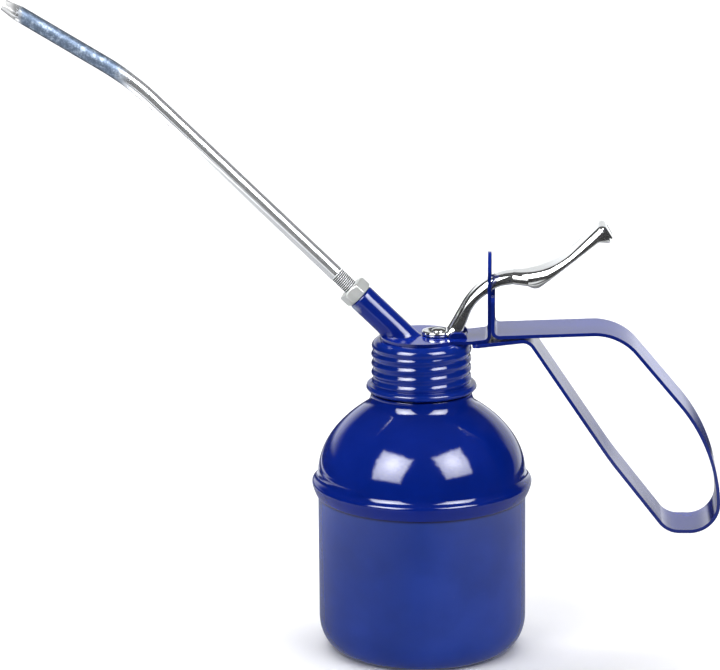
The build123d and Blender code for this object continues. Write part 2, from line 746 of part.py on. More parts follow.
spring_turns = 5
spring_bottom = piston_top_z + SPRING_WIRE_R
spring_top = head_bottom_z - SPRING_WIRE_R
with BuildPart() as return_spring:
    with BuildLine() as coil:
        Helix(
            pitch=(spring_top - spring_bottom) / spring_turns,
            height=spring_top - spring_bottom,
            radius=SPRING_MEAN_R,
            center=(PUMP_X, 0, spring_bottom),
        )
    with BuildSketch(Plane(origin=coil.line @ 0, z_dir=coil.line % 0)):
        Circle(SPRING_WIRE_R)
    sweep(path=coil.line, is_frenet=True)
return_spring.part.label = "return_spring"

# ---------------------------------------------------------------- foot valve and suction line
foot_valve_bottom = 84.0
nipple_bottom = 76.0
nipple_r = 2.4
foot_bore_r = 1.5
foot_seat_z = 87.0
foot_chamber_r = 3.0
foot_ball_r = 2.4
spigot_top = 93.0
with BuildPart() as foot_valve_body:
    vertical_disc(PUMP_X, BARREL_R, foot_valve_bottom, BARREL_BOTTOM_Z)
    vertical_disc(PUMP_X, BORE_R - FIT, BARREL_BOTTOM_Z, spigot_top)
    vertical_disc(PUMP_X, nipple_r, nipple_bottom, foot_valve_bottom)
    vertical_bore(PUMP_X, foot_bore_r, nipple_bottom - 1, foot_seat_z)
    vertical_bore(PUMP_X, foot_chamber_r, foot_seat_z, spigot_top + 1)
foot_valve_body.part.label = "foot_valve_body"

with BuildPart() as foot_valve_washer:
    vertical_disc(PUMP_X, BORE_R - FIT, spigot_top, spigot_top + 0.8)
    with BuildSketch(Plane.XY.offset(spigot_top)):
        with Locations((PUMP_X, 0)):
            with PolarLocations(2.0, 3):
                Circle(0.8)
    extrude(amount=1, mode=Mode.SUBTRACT)
foot_valve_washer.part.label = "foot_valve_washer"

foot_ball_z = foot_seat_z + ball_rest_z(foot_bore_r, foot_ball_r) + 0.02
with BuildPart() as foot_ball:
    with Locations((PUMP_X, 0, foot_ball_z)):
        Sphere(foot_ball_r)
foot_ball.part.label = "foot_ball"

tube_top = foot_valve_bottom
tube_bottom = 9.0
tube_outer_r = 3.2
with BuildPart() as suction_tube:
    vertical_disc(PUMP_X, tube_outer_r, tube_bottom, tube_top)
    vertical_bore(PUMP_X, nipple_r, tube_bottom - 1, tube_top + 1)
suction_tube.part.label = "suction_tube"

strainer_bottom = 4.5
strainer_top = 14.0
strainer_r = 4.2
strainer_slot = 1.2
strainer_slot_z = 7.0
with BuildPart() as strainer:
    vertical_disc(PUMP_X, strainer_r, strainer_bottom, strainer_top)
    vertical_bore(PUMP_X, tube_outer_r, tube_bottom, strainer_top + 1)
    vertical_bore(PUMP_X, tube_outer_r - 0.6, strainer_bottom + 0.8, strainer_top)
    for turn in (0, 90):
        slot_dir = (cos(radians(turn)), sin(radians(turn)), 0)
        with BuildSketch(Plane(origin=(PUMP_X, 0, strainer_slot_z), z_dir=slot_dir)):
            Rectangle(strainer_slot, strainer_slot)
        extrude(amount=strainer_r + 1, both=True, mode=Mode.SUBTRACT)
strainer.part.label = "strainer"

# ---------------------------------------------------------------- files
for piece in (
    can_cup,
    can_dome,
    neck_ring,
    screw_cap,
    cap_gasket,
    top_plate,
    handle_strap,
    fulcrum_block,
    lever,
    spout_socket,
    lock_nut,
    spout_tube,
    pump_head,
    delivery_elbow,
    rod_packing,
    pump_barrel,
    piston,
    piston_seal,
    piston_valve_seat,
    piston_ball,
    piston_rod,
    return_spring,
    foot_valve_body,
    foot_valve_washer,
    foot_ball,
    suction_tube,
    strainer,
):
    export_step(piece.part, f"parts/{piece.part.label}.step")
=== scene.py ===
import json
import math

import bpy
from mathutils import Matrix, Vector


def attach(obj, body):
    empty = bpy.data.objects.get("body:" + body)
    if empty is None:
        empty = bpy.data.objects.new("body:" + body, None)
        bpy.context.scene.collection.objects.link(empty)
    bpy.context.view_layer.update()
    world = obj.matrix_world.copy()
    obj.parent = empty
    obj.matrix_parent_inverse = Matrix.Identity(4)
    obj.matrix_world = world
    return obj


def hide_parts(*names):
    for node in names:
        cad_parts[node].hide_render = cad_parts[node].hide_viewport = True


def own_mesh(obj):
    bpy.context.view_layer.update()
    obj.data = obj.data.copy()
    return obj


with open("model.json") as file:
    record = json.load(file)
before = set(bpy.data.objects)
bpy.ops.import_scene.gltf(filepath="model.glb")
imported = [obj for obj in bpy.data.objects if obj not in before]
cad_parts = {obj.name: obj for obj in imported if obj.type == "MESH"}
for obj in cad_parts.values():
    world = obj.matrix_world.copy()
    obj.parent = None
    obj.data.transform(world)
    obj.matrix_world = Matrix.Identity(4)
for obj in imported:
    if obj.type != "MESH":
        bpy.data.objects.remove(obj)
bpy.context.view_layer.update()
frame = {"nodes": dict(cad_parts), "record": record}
MM = 0.001

# ---------------- dimensions in millimetres
CAN_R = 42.5
WALL = 0.8
BASE_Z = 1.2
CORNER_R, CORNER_Z = 33.2, 13.5
CORNER_A, CORNER_B = 9.3, 13.5
SEAM_Z = 65.4
SHEET = 1.4
CAP_TOP = 130.2
PLATE_MID = CAP_TOP + SHEET / 2
PLATE_R = 16.5
TONGUE_HALF = 11.2
UPRIGHT_X = 27.8
UPRIGHT_TOP = 166.2
SLOT_LOW, SLOT_HIGH = 143.8, 158.8
SLOT_HALF = 5.7
SLOT_CORNER = 1.2
STRAP_HALF = 12.5
STRAP_CORNER = 2.5
PITCH = 3.83
CREST_Z = 112.4
PUMP_X = 7.0
ROD_HOLE_R = 2.0
HOLE_REACH = 1.96
PIVOT = (16.0, 133.6)
HEEL_R = 1.5
LEVER_SHEET = 1.5
ARM_HALF = 4.9
SPOUT_ANGLE = math.radians(44.3)
TIP_ANGLE = math.radians(31.0)
SPOUT_BASE = Vector((-6.87, 0, CAP_TOP))
SPOUT_DIR = Vector((-math.cos(SPOUT_ANGLE), 0, math.sin(SPOUT_ANGLE)))
SOCKET_R = 5.6
SOCKET_END = 24.9
SOCKET_ROUND = 0.8
TUBE_START = 11.5
TUBE_R = 3.175
TUBE_BORE_R = 2.3
ACROSS = Vector((0, 1, 0))


# ---------------- lines in the side view
class SideLine:
    """Straight runs with rounded corners in the XZ plane, followed by distance."""

    def __init__(self, corners, radii):
        pts = [Vector(c) for c in corners]
        self.parts = []
        start = pts[0]
        for i, radius in enumerate(radii, 1):
            into = (pts[i] - pts[i - 1]).normalized()
            out = (pts[i + 1] - pts[i]).normalized()
            turn = into.angle_signed(out)
            back = radius * math.tan(abs(turn) / 2)
            end = pts[i] - into * back
            self.parts.append(("run", start, into, (end - start).length))
            side = 1 if into.x * out.y - into.y * out.x > 0 else -1
            normal = Vector((-into.y, into.x)) * side
            self.parts.append(("arc", end + normal * radius, radius, -normal, side, radius * abs(turn)))
            start = pts[i] + out * back
        out = (pts[-1] - start).normalized()
        self.parts.append(("run", start, out, (pts[-1] - start).length))
        self.length = sum(p[-1] for p in self.parts)

    def at(self, distance):
        """Point and direction at a distance along the line."""
        left = max(0.0, min(self.length, distance))
        for part in self.parts:
            if left <= part[-1] + 1e-9 or part is self.parts[-1]:
                break
            left -= part[-1]
        if part[0] == "run":
            return part[1] + part[2] * left, part[2].copy()
        _, centre, radius, arm, side, _ = part
        a = side * left / radius
        spoke = Vector((arm.x * math.cos(a) - arm.y * math.sin(a), arm.x * math.sin(a) + arm.y * math.cos(a)))
        return centre + spoke * radius, Vector((-spoke.y, spoke.x)) * side

    def stops(self, step, arc_step=0.06):
        """Distances that follow every curve closely and the straights loosely."""
        marks = [0.0]
        here = 0.0
        for part in self.parts:
            size = part[-1]
            count = max(1, math.ceil(size / step))
            if part[0] == "arc":
                count = max(count, math.ceil(size / part[2] / arc_step))
            marks += [here + size * k / count for k in range(1, count + 1)]
            here += size
        return marks


# ---------------- mesh helpers
def angles(count):
    """Equal steps once round a circle."""
    return [2 * math.pi * k / count for k in range(count)]


def ring_about(centre, direction, radii):
    """Points round a centre, square to a direction, one for each radius."""
    other = direction.cross(ACROSS)
    turns = angles(len(radii))
    return [centre + ACROSS * (r * math.cos(a)) + other * (r * math.sin(a)) for r, a in zip(radii, turns)]


def placed(name, data):
    obj = bpy.data.objects.new(name, data)
    bpy.context.scene.collection.objects.link(obj)
    return obj


def make(name, verts, faces, body, slot, material, stands_for, sharp=40):
    """A mesh object in metres from millimetre vertices, riding on a CAD body."""
    mesh = bpy.data.meshes.new(name)
    mesh.from_pydata([tuple(c * MM for c in v) for v in verts], [], faces)
    mesh.validate()
    mesh.update()
    mesh.polygons.foreach_set("use_smooth", [True] * len(mesh.polygons))
    mesh.set_sharp_from_angle(angle=math.radians(sharp))
    mesh.materials.append(material)
    obj = placed(name, mesh)
    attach(obj, body)
    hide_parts(*stands_for)
    return obj


def loft(rings, closed_ends=False, wrap=False):
    """Vertices and quads that join equal rings of points. wrap joins the last ring to the first."""
    count = len(rings[0])
    verts = [p for ring in rings for p in ring]
    faces = []
    spans = len(rings) if wrap else len(rings) - 1
    for i in range(spans):
        a, b = i * count, ((i + 1) % len(rings)) * count
        faces += [(a + k, a + (k + 1) % count, b + (k + 1) % count, b + k) for k in range(count)]
    if closed_ends:
        faces.append(tuple(reversed(range(count))))
        last = (len(rings) - 1) * count
        faces.append(tuple(last + k for k in range(count)))
    return verts, faces


def lathe(profile, segments, x=0.0, origin=None, axis=None, radius_at=None):
    """Turned rings from (radius, height) pairs about a vertical line, or about another axis from origin."""
    rings = []
    turns = angles(segments)
    for r, z in profile:
        radii = [radius_at(r, z, a) if radius_at else r for a in turns]
        if axis:
            rings.append(ring_about(origin + axis * z, axis, radii))
        else:
            rings.append([Vector((x + rr * math.cos(a), rr * math.sin(a), z)) for rr, a in zip(radii, turns)])
    return rings


def elliptic(cr, cz, ra, rb, start, end, count):
    """Points on an ellipse in (radius, height) from one angle to another, in degrees."""
    out = []
    for k in range(count + 1):
        a = math.radians(start + (end - start) * k / count)
        out.append((cr + ra * math.cos(a), cz + rb * math.sin(a)))
    return out


def soften(obj, width, segments=3, angle=35):
    """A rounded edge, as paint and wear leave it."""
    bevel = obj.modifiers.new("rounded", "BEVEL")
    bevel.width = width * MM
    bevel.segments = segments
    bevel.limit_method = "ANGLE"
    bevel.angle_limit = math.radians(angle)


def slab(outline, near, far, first):
    """A flat piece with an XZ outline between two planes; first is the number of its first vertex."""
    n = len(outline)
    verts = [Vector((x, y, z)) for y in (near, far) for x, z in outline]
    faces = [tuple(first + k for k in range(n)), tuple(first + n + k for k in reversed(range(n)))]
    faces += [(first + (k + 1) % n, first + k, first + n + k, first + n + (k + 1) % n) for k in range(n)]
    return verts, faces


def sheet_strip(line, marks, half_width, gap, thickness):
    """A bent sheet-metal strip: two skins joined at their rims.

    gap(s) is the half width of the middle column and whether that column is open.
    """
    top, bottom = [], []
    for s in marks:
        point, way = line.at(s)
        normal = Vector((-way.y, way.x))
        w = half_width(s)
        g = min(gap(s)[0], w * 0.8)
        ys = (-w, -(w + g) / 2, -g, g, (w + g) / 2, w)
        up = point + normal * (thickness / 2)
        down = point - normal * (thickness / 2)
        top += [Vector((up.x, y, up.y)) for y in ys]
        bottom += [Vector((down.x, y, down.y)) for y in ys]
    columns = 6
    middle_column = 2
    cells = set()
    for i in range(len(marks) - 1):
        is_open = gap((marks[i] + marks[i + 1]) / 2)[1]
        cells |= {(i, c) for c in range(columns - 1) if not (is_open and c == middle_column)}
    verts = top + bottom
    base = len(top)
    faces = []
    for i, c in sorted(cells):
        a = i * columns + c
        b, d, e = a + 1, a + columns + 1, a + columns
        faces.append((a, b, d, e))
        faces.append((base + e, base + d, base + b, base + a))
        for (di, dc), (p, q) in {(-1, 0): (b, a), (1, 0): (e, d), (0, -1): (a, e), (0, 1): (d, b)}.items():
            if (i + di, c + dc) not in cells:
                faces.append((p, q, base + q, base + p))
    used = sorted({v for f in faces for v in f})
    where = {v: k for k, v in enumerate(used)}
    return [verts[v] for v in used], [tuple(where[v] for v in f) for f in faces]


# ---------------- materials
def tree_of(name):
    """A new material with its node tree, its shader and texture coordinates."""
    mat = bpy.data.materials.new(name)
    mat.use_nodes = True
    tree = mat.node_tree
    return mat, tree, tree.nodes["Principled BSDF"], tree.nodes.new("ShaderNodeTexCoord")


def node(tree, kind, **values):
    """A node with sockets set by name and properties set by attribute."""
    made = tree.nodes.new(kind)
    for key, value in values.items():
        if hasattr(made, key):
            setattr(made, key, value)
        else:
            made.inputs[key.replace("_", " ")].default_value = value
    return made


def noise(tree, coords, scale, detail, rough=0.5, stretch=None, distortion=0.0):
    """Noise in the object's own frame, in metres; stretch squeezes it along each axis."""
    made = node(tree, "ShaderNodeTexNoise", Scale=scale, Detail=detail, Roughness=rough)
    made.inputs["Distortion"].default_value = distortion
    link = tree.links.new
    if stretch:
        mapping = node(tree, "ShaderNodeMapping", Scale=stretch)
        link(coords.outputs["Object"], mapping.inputs["Vector"])
        link(mapping.outputs["Vector"], made.inputs["Vector"])
    else:
        link(coords.outputs["Object"], made.inputs["Vector"])
    return made.outputs["Fac"]


def ramp(tree, source, stops):
    """A colour ramp over a value; stops are (position, colour or grey)."""
    made = tree.nodes.new("ShaderNodeValToRGB")
    elements = made.color_ramp.elements
    while len(elements) < len(stops):
        elements.new(0.5)
    for element, (position, colour) in zip(elements, stops):
        element.position = position
        element.color = (*colour, 1) if isinstance(colour, tuple) else (colour, colour, colour, 1)
    tree.links.new(source, made.inputs["Fac"])
    return made.outputs["Color"]


def blend_colour(tree, factor, first, second):
    """The first colour shading into the second; each input is a socket or a constant."""
    made = node(tree, "ShaderNodeMix", data_type="RGBA")
    link = tree.links.new
    for socket, value in ((made.inputs[0], factor), (made.inputs[6], first), (made.inputs[7], second)):
        if isinstance(value, bpy.types.NodeSocket):
            link(value, socket)
        elif isinstance(value, tuple):
            socket.default_value = (*value, 1)
        else:
            socket.default_value = value
    return made.outputs[2]


def maths(tree, operation, a, b=None, clamp=False):
    """One maths node; each input is a socket or a number."""
    made = node(tree, "ShaderNodeMath", operation=operation, use_clamp=clamp)
    for socket, value in zip(made.inputs, (a, b)):
        if isinstance(value, bpy.types.NodeSocket):
            tree.links.new(value, socket)
        elif value is not None:
            socket.default_value = value
    return made.outputs[0]


def scaled(tree, value, factor, offset):
    """value * factor + offset, where the offset is a number or a socket."""
    result = maths(tree, "MULTIPLY_ADD", value, factor)
    third = result.node.inputs[2]
    if isinstance(offset, bpy.types.NodeSocket):
        tree.links.new(offset, third)
    else:
        third.default_value = offset
    return result


def product(tree, first, *others):
    """Sockets and numbers multiplied together, from left to right."""
    result = first
    for other in others:
        result = maths(tree, "MULTIPLY", result, other)
    return result


def axes_of(tree, vector):
    """The X, Y and Z outputs of a vector socket."""
    axes = tree.nodes.new("ShaderNodeSeparateXYZ")
    tree.links.new(vector, axes.inputs["Vector"])
    return axes.outputs


def shade(colour, factor):
    """A colour made darker or lighter."""
    return tuple(c * factor for c in colour)


def bumps(tree, shader, layers):
    """Chain of bump nodes: (height, strength, distance in metres)."""
    before = None
    for height, strength, distance in layers:
        made = node(tree, "ShaderNodeBump", Strength=strength, Distance=distance)
        tree.links.new(height, made.inputs["Height"])
        if before:
            tree.links.new(before, made.inputs["Normal"])
        before = made.outputs["Normal"]
    tree.links.new(before, shader.inputs["Normal"])
    return before


def near_spot(tree, coords, centre, size):
    """One near a point and nothing away from it, with a ragged edge; millimetres."""
    away = node(tree, "ShaderNodeVectorMath", operation="DISTANCE")
    tree.links.new(coords.outputs["Object"], away.inputs[0])
    away.inputs[1].default_value = [c * MM for c in centre]
    reach = size * MM
    ragged = maths(tree, "MULTIPLY", noise(tree, coords, 700.0, 4.0, 0.65), reach * 1.2)
    distance = maths(tree, "ADD", away.outputs["Value"], ragged)
    return ramp(tree, distance, [(reach * 0.9, 1.0), (reach * 1.25, 0.0)])


def enamel(name, colour, rough=0.1, wave=0.5, dust=0.5, chips=0.0, rim=0.0, spots=(), seam=None):
    """Blue stoving enamel over steel: orange peel, faint colour drift, dust specks and worn edges.

    chips bare a little metal, rim lays painted shade on the faces that look along Y, spots are (centre, size,
    colour, share), and seam is a height in millimetres with a painted shadow just under it.
    """
    mat, tree, shader, coords = tree_of(name)
    link = tree.links.new
    light = tuple(min(1.0, c * 1.25 + 0.002) for c in colour)
    drift = noise(tree, coords, 22.0, 4.0, 0.55)
    base = ramp(tree, drift, [(0.32, shade(colour, 0.82)), (0.5, colour), (0.7, light)])
    specks = ramp(tree, noise(tree, coords, 900.0, 2.0, 0.6), [(0.70, 0.0), (0.76, 1.0)])
    patches = ramp(tree, noise(tree, coords, 60.0, 3.0, 0.6), [(0.52, 0.0), (0.68, 1.0)])
    dusty = maths(tree, "MULTIPLY", specks, maths(tree, "MULTIPLY", patches, 0.10 * dust))
    base = blend_colour(tree, dusty, base, (0.30, 0.33, 0.45))
    geometry = tree.nodes.new("ShaderNodeNewGeometry")
    edge = ramp(tree, geometry.outputs["Pointiness"], [(0.53, 0.0), (0.62, 1.0)])
    flakes = ramp(tree, noise(tree, coords, 240.0, 5.0, 0.7), [(0.56, 0.0), (0.66, 1.0)])
    base = blend_colour(tree, product(tree, edge, flakes, 0.35), base, (0.10, 0.12, 0.20))
    # Painted shadow: a dark band just under the seam height, where the bead's lip shades the cup.
    if seam:
        level = product(tree, axes_of(tree, coords.outputs["Object"])["Z"], 10.0)
        under = ramp(tree, level, [((seam - 1.3) * 0.01, 0.0), ((seam - 0.5) * 0.01, 0.9)])
        base = blend_colour(tree, under, base, shade(colour, 0.15))
    for centre, size, stain, share in spots:
        base = blend_colour(tree, product(tree, near_spot(tree, coords, centre, size), share), base, stain)
    # Painted shade: faces that look along Y, which are the sheet's cut edges, are darkened by their facing
    # direction.
    if rim:
        facing = axes_of(tree, coords.outputs["Normal"])["Y"]
        cut = ramp(tree, maths(tree, "ABSOLUTE", facing), [(0.80, 0.0), (0.97, 1.0)])
        base = blend_colour(tree, product(tree, cut, rim), base, shade(colour, 0.25))
    if chips:
        cells = noise(tree, coords, 150.0, 6.0, 0.72, distortion=0.6)
        chip = ramp(tree, cells, [(0.735 - 0.02 * chips, 0.0), (0.75 - 0.02 * chips, 1.0)])
        base = blend_colour(tree, chip, base, (0.42, 0.43, 0.42))
        link(chip, shader.inputs["Metallic"])
    link(base, shader.inputs["Base Color"])
    smear = noise(tree, coords, 45.0, 5.0, 0.6, stretch=(1.0, 1.0, 0.35))
    polish = ramp(tree, smear, [(0.35, rough * 0.85), (0.55, rough), (0.75, rough * 1.22)])
    link(polish, shader.inputs["Roughness"])
    peel = noise(tree, coords, 480.0, 2.0, 0.5)
    swell = noise(tree, coords, 95.0, 1.5, 0.45)
    sag = noise(tree, coords, 26.0, 1.0, 0.4)
    layers = [(sag, 0.35 * wave, 0.0012), (swell, 0.30 * wave, 0.00035)]
    layers += [(peel, 0.16 * wave, 0.00006), (specks, 0.08 * dust, 0.00004)]
    bumps(tree, shader, layers)
    return mat


def plated(
    name,
    colour,
    rough,
    wave,
    tint=(0.55, 0.52, 0.45),
    stain=0.25,
    grain=(1.0, 1.0, 0.06),
    grain_size=1400.0,
    metal=1.0,
):
    """Bright plated steel: uneven polish, faint dulling, fine scratches along the grain and small pits."""
    mat, tree, shader, coords = tree_of(name)
    link = tree.links.new
    clouds = noise(tree, coords, 70.0, 5.0, 0.62)
    pits = ramp(tree, noise(tree, coords, 700.0, 3.0, 0.6), [(0.66, 0.0), (0.74, 1.0)])
    base = ramp(tree, clouds, [(0.3, shade(colour, 0.93)), (0.6, colour)])
    soil = ramp(tree, noise(tree, coords, 33.0, 6.0, 0.65), [(0.5, 0.0), (0.75, 1.0)])
    base = blend_colour(tree, product(tree, soil, stain), base, tint)
    base = blend_colour(tree, product(tree, pits, 0.3), base, shade(colour, 0.35))
    link(base, shader.inputs["Base Color"])
    shader.inputs["Metallic"].default_value = metal
    scratch = noise(tree, coords, grain_size, 3.0, 0.6, stretch=grain)
    spread = ramp(tree, scratch, [(0.3, rough * 0.75), (0.6, rough * 1.1), (0.8, rough * 1.9)])
    link(spread, shader.inputs["Roughness"])
    swell = noise(tree, coords, 120.0, 2.0, 0.5)
    bumps(tree, shader, [(swell, 0.35 * wave, 0.0003), (scratch, 0.10, 0.00001), (pits, 0.12, 0.00003)])
    return mat


def turned(name, colour, rough):
    """Machined metal with tool marks and tarnish."""
    mat, tree, shader, coords = tree_of(name)
    link = tree.links.new
    marks = noise(tree, coords, 160.0, 2.0, 0.5, stretch=(1.0, 1.0, 30.0))
    clouds = noise(tree, coords, 90.0, 5.0, 0.6)
    base = ramp(tree, clouds, [(0.3, shade(colour, 0.75)), (0.6, colour)])
    tarnish = ramp(tree, noise(tree, coords, 260.0, 4.0, 0.6), [(0.58, 0.0), (0.72, 1.0)])
    base = blend_colour(tree, product(tree, tarnish, 0.5), base, (0.2, 0.15, 0.1))
    link(base, shader.inputs["Base Color"])
    shader.inputs["Metallic"].default_value = 1.0
    link(ramp(tree, marks, [(0.3, rough * 0.8), (0.7, rough * 1.3)]), shader.inputs["Roughness"])
    bumps(tree, shader, [(marks, 0.25, 0.00004), (tarnish, 0.1, 0.00003)])
    return mat


def matt(name, colour, rough, clear=0.0):
    """Rubber or plastic with mould grain, dirt and soft colour change."""
    mat, tree, shader, coords = tree_of(name)
    link = tree.links.new
    clouds = noise(tree, coords, 80.0, 4.0, 0.6)
    link(ramp(tree, clouds, [(0.3, shade(colour, 0.7)), (0.65, colour)]), shader.inputs["Base Color"])
    fine = noise(tree, coords, 400.0, 3.0, 0.6)
    link(ramp(tree, fine, [(0.3, rough * 0.85), (0.7, min(1.0, rough * 1.2))]), shader.inputs["Roughness"])
    shader.inputs["Transmission Weight"].default_value = clear
    bumps(tree, shader, [(fine, 0.3, 0.00008)])
    return mat


BLUE = (0.0035, 0.018, 0.235)
# Dark brown, laid in small spots at the foot of the upright's front edge and on the strap's bend beside it.
DARK_BROWN = (0.035, 0.025, 0.018)
BARE = (0.45, 0.46, 0.46)
cup_paint = enamel("cup_paint", (0.0060, 0.031, 0.245), rough=0.215, wave=0.35, dust=0.6, seam=SEAM_Z)
dome_paint = enamel("dome_paint", (0.0015, 0.0135, 0.190), rough=0.08, wave=0.55, dust=0.5)
cap_paint = enamel("cap_paint", (0.0028, 0.019, 0.212), rough=0.085, wave=0.5, dust=0.6)
strap_paint = enamel(
    "strap_paint",
    BLUE,
    rough=0.16,
    wave=0.5,
    dust=0.8,
    rim=0.45,
    spots=[((29.6, -11.5, 132.6), 3.0, DARK_BROWN, 0.7)],
)
bracket_paint = enamel(
    "bracket_paint",
    BLUE,
    rough=0.12,
    wave=0.7,
    dust=0.8,
    chips=1.0,
    rim=0.6,
    spots=[((28.4, -11.2, 132.4), 2.6, DARK_BROWN, 0.8), ((27.2, -11.2, 165.0), 1.0, BARE, 0.5)],
)
socket_paint = enamel(
    "socket_paint",
    (0.003, 0.016, 0.20),
    rough=0.09,
    wave=0.4,
    dust=0.6,
    chips=0.8,
    spots=[((-26.5, -4.0, 142.8), 1.7, BARE, 0.9), ((-27.8, -2.4, 143.2), 1.1, (0.30, 0.40, 0.55), 0.8)],
)
chrome = plated("lever_chrome", (0.66, 0.665, 0.655), rough=0.07, wave=0.25, stain=0.12, metal=0.92)
NICKEL_METAL = 0.74
nickel = plated(
    "spout_nickel",
    (0.86, 0.87, 0.88),
    rough=0.10,
    wave=0.45,
    stain=0.15,
    tint=(0.36, 0.42, 0.52),
    grain=(0.3, 1.0, 0.3),
    metal=NICKEL_METAL,
)


def dull_the_tip(mat):
    """Beyond its bend the tube is dulled and mottled; its tapered mouth is a painted highlight, pale and less
    metallic; surfaces beyond the bend that turn from view get painted shade; and its thread grooves get
    painted shade.
    """
    tree = mat.node_tree
    shader = tree.nodes["Principled BSDF"]
    link = tree.links.new
    coords = tree.nodes.new("ShaderNodeTexCoord")
    along = product(tree, axes_of(tree, coords.outputs["Object"])["X"], -5.0)
    drift = product(tree, noise(tree, coords, 160.0, 3.0, 0.6), 0.03)
    stretch = maths(tree, "ADD", along, drift)
    beyond = ramp(tree, stretch, [(0.585, 0.0), (0.625, 1.0), (0.808, 1.0), (0.818, 0.0)])
    mottle = ramp(
        tree,
        noise(tree, coords, 520.0, 4.0, 0.7),
        [(0.35, (0.09, 0.125, 0.18)), (0.52, (0.15, 0.20, 0.28)), (0.66, (0.40, 0.48, 0.58))],
    )
    base = shader.inputs["Base Color"].links[0].from_socket
    base = blend_colour(tree, beyond, base, mottle)
    # Painted highlight: the tapered mouth is turned pale and mostly non-metallic, so it reads white under any
    # lamp.
    mouth = ramp(tree, along, [(0.808, 0.0), (0.818, 1.0)])
    base = blend_colour(tree, product(tree, mouth, 0.8), base, (0.86, 0.86, 0.86))
    # Painted shade: beyond the bend and at the mouth, surfaces turned away from view are darkened and given
    # less metal and specular strength.
    sheen = node(tree, "ShaderNodeLayerWeight", Blend=0.5)
    turned_away = ramp(tree, sheen.outputs["Facing"], [(0.28, 0.0), (0.60, 1.0)])
    rim = product(tree, turned_away, maths(tree, "MAXIMUM", beyond, mouth))
    base = blend_colour(tree, product(tree, rim, 0.85), base, (0.045, 0.05, 0.06))
    # Painted shade: the thread's grooves are darkened to near black.
    groove = tree.nodes.new("ShaderNodeAttribute")
    groove.attribute_name = "groove"
    dark = ramp(tree, groove.outputs["Fac"], [(0.34, 0.0), (0.58, 1.0)])
    cut = ramp(tree, groove.outputs["Fac"], [(0.10, 0.0), (0.20, 1.0)])
    link(blend_colour(tree, dark, base, (0.012, 0.012, 0.012)), shader.inputs["Base Color"])
    rough = shader.inputs["Roughness"].links[0].from_socket
    duller = maths(tree, "ADD", rough, product(tree, maths(tree, "MAXIMUM", beyond, cut), 0.38))
    link(duller, shader.inputs["Roughness"])
    # Less metallic at the mouth (part of its painted highlight) and in the thread grooves (part of their
    # painted shade).
    soft = product(tree, maths(tree, "MAXIMUM", mouth, cut), 0.5)
    metallic_less_mouth_and_grooves = maths(tree, "SUBTRACT", NICKEL_METAL, soft)
    link(maths(tree, "SUBTRACT", metallic_less_mouth_and_grooves, product(tree, rim, 0.55), clamp=True), shader.inputs["Metallic"])
    link(maths(tree, "SUBTRACT", 0.5, product(tree, rim, 0.5)), shader.inputs["Specular IOR Level"])


dull_the_tip(nickel)
zinc = plated(
    "nut_zinc",
    (0.74, 0.755, 0.73),
    rough=0.38,
    wave=0.5,
    stain=0.5,
    tint=(0.45, 0.47, 0.40),
    grain=(1.0, 1.0, 1.0),
    grain_size=500.0,
    metal=0.72,
)
steel = plated("inner_steel", (0.62, 0.62, 0.62), rough=0.2, wave=0.2)
brass = turned("pump_brass", (0.72, 0.52, 0.22), rough=0.28)
rubber = matt("seal_rubber", (0.03, 0.03, 0.032), rough=0.6)
plastic = matt("dip_plastic", (0.72, 0.72, 0.66), rough=0.4, clear=0.4)

SLOT_MATERIAL = {
    "cup_paint": cup_paint,
    "dome_paint": dome_paint,
    "cap_paint": cap_paint,
    "bracket_paint": bracket_paint,
    "lever_chrome": chrome,
    "spout_nickel": nickel,
    "nut_zinc": zinc,
    "pump_brass": brass,
    "inner_steel": steel,
    "seal_rubber": rubber,
    "dip_plastic": plastic,
}
for entry in frame["record"]["subparts"]:
    shown = frame["nodes"][entry["node"]]
    shown.data.materials.clear()
    shown.data.materials.append(SLOT_MATERIAL[entry["material_slot"]])

# ---------------- can
CORNER_INSIDE_A, CORNER_INSIDE_B = CORNER_A - WALL, CORNER_B - WALL
cup = [(0.05, BASE_Z), (20.0, BASE_Z), (28.4, BASE_Z), (28.9, 1.1), (29.4, 0.6)]
cup += [(29.8, 0.15), (30.3, 0.0), (31.2, 0.0)]
cup += elliptic(CORNER_R, CORNER_Z, CORNER_A, CORNER_B, 270, 360, 40)
cup += [(CAN_R, z) for z in (16.0, 22.0, 30.0, 40.0, 50.0, 58.0, 66.0, 73.4)]
cup += [(42.3, 73.6), (41.9, 73.6), (41.7, 73.4), (41.7, 40.0), (41.7, 13.6)]
cup += elliptic(CORNER_R, CORNER_Z, CORNER_INSIDE_A, CORNER_INSIDE_B, 360, 270, 16)
cup += [(30.4, 0.8), (29.2, BASE_Z + WALL), (0.05, BASE_Z + WALL)]
make("can_cup_skin", *loft(lathe(cup, 192), wrap=True), "can", "cup_paint", cup_paint, ["can_cup"])

DOME_A, DOME_B, DOME_Z = 73.8, 42.7, 73.6
DOME_R0 = CAN_R + 0.1 - DOME_A


def dome_r(z, inset=0.0):
    return DOME_R0 + (DOME_A - inset) * math.sqrt(1 - ((z - DOME_Z) / (DOME_B - inset)) ** 2)


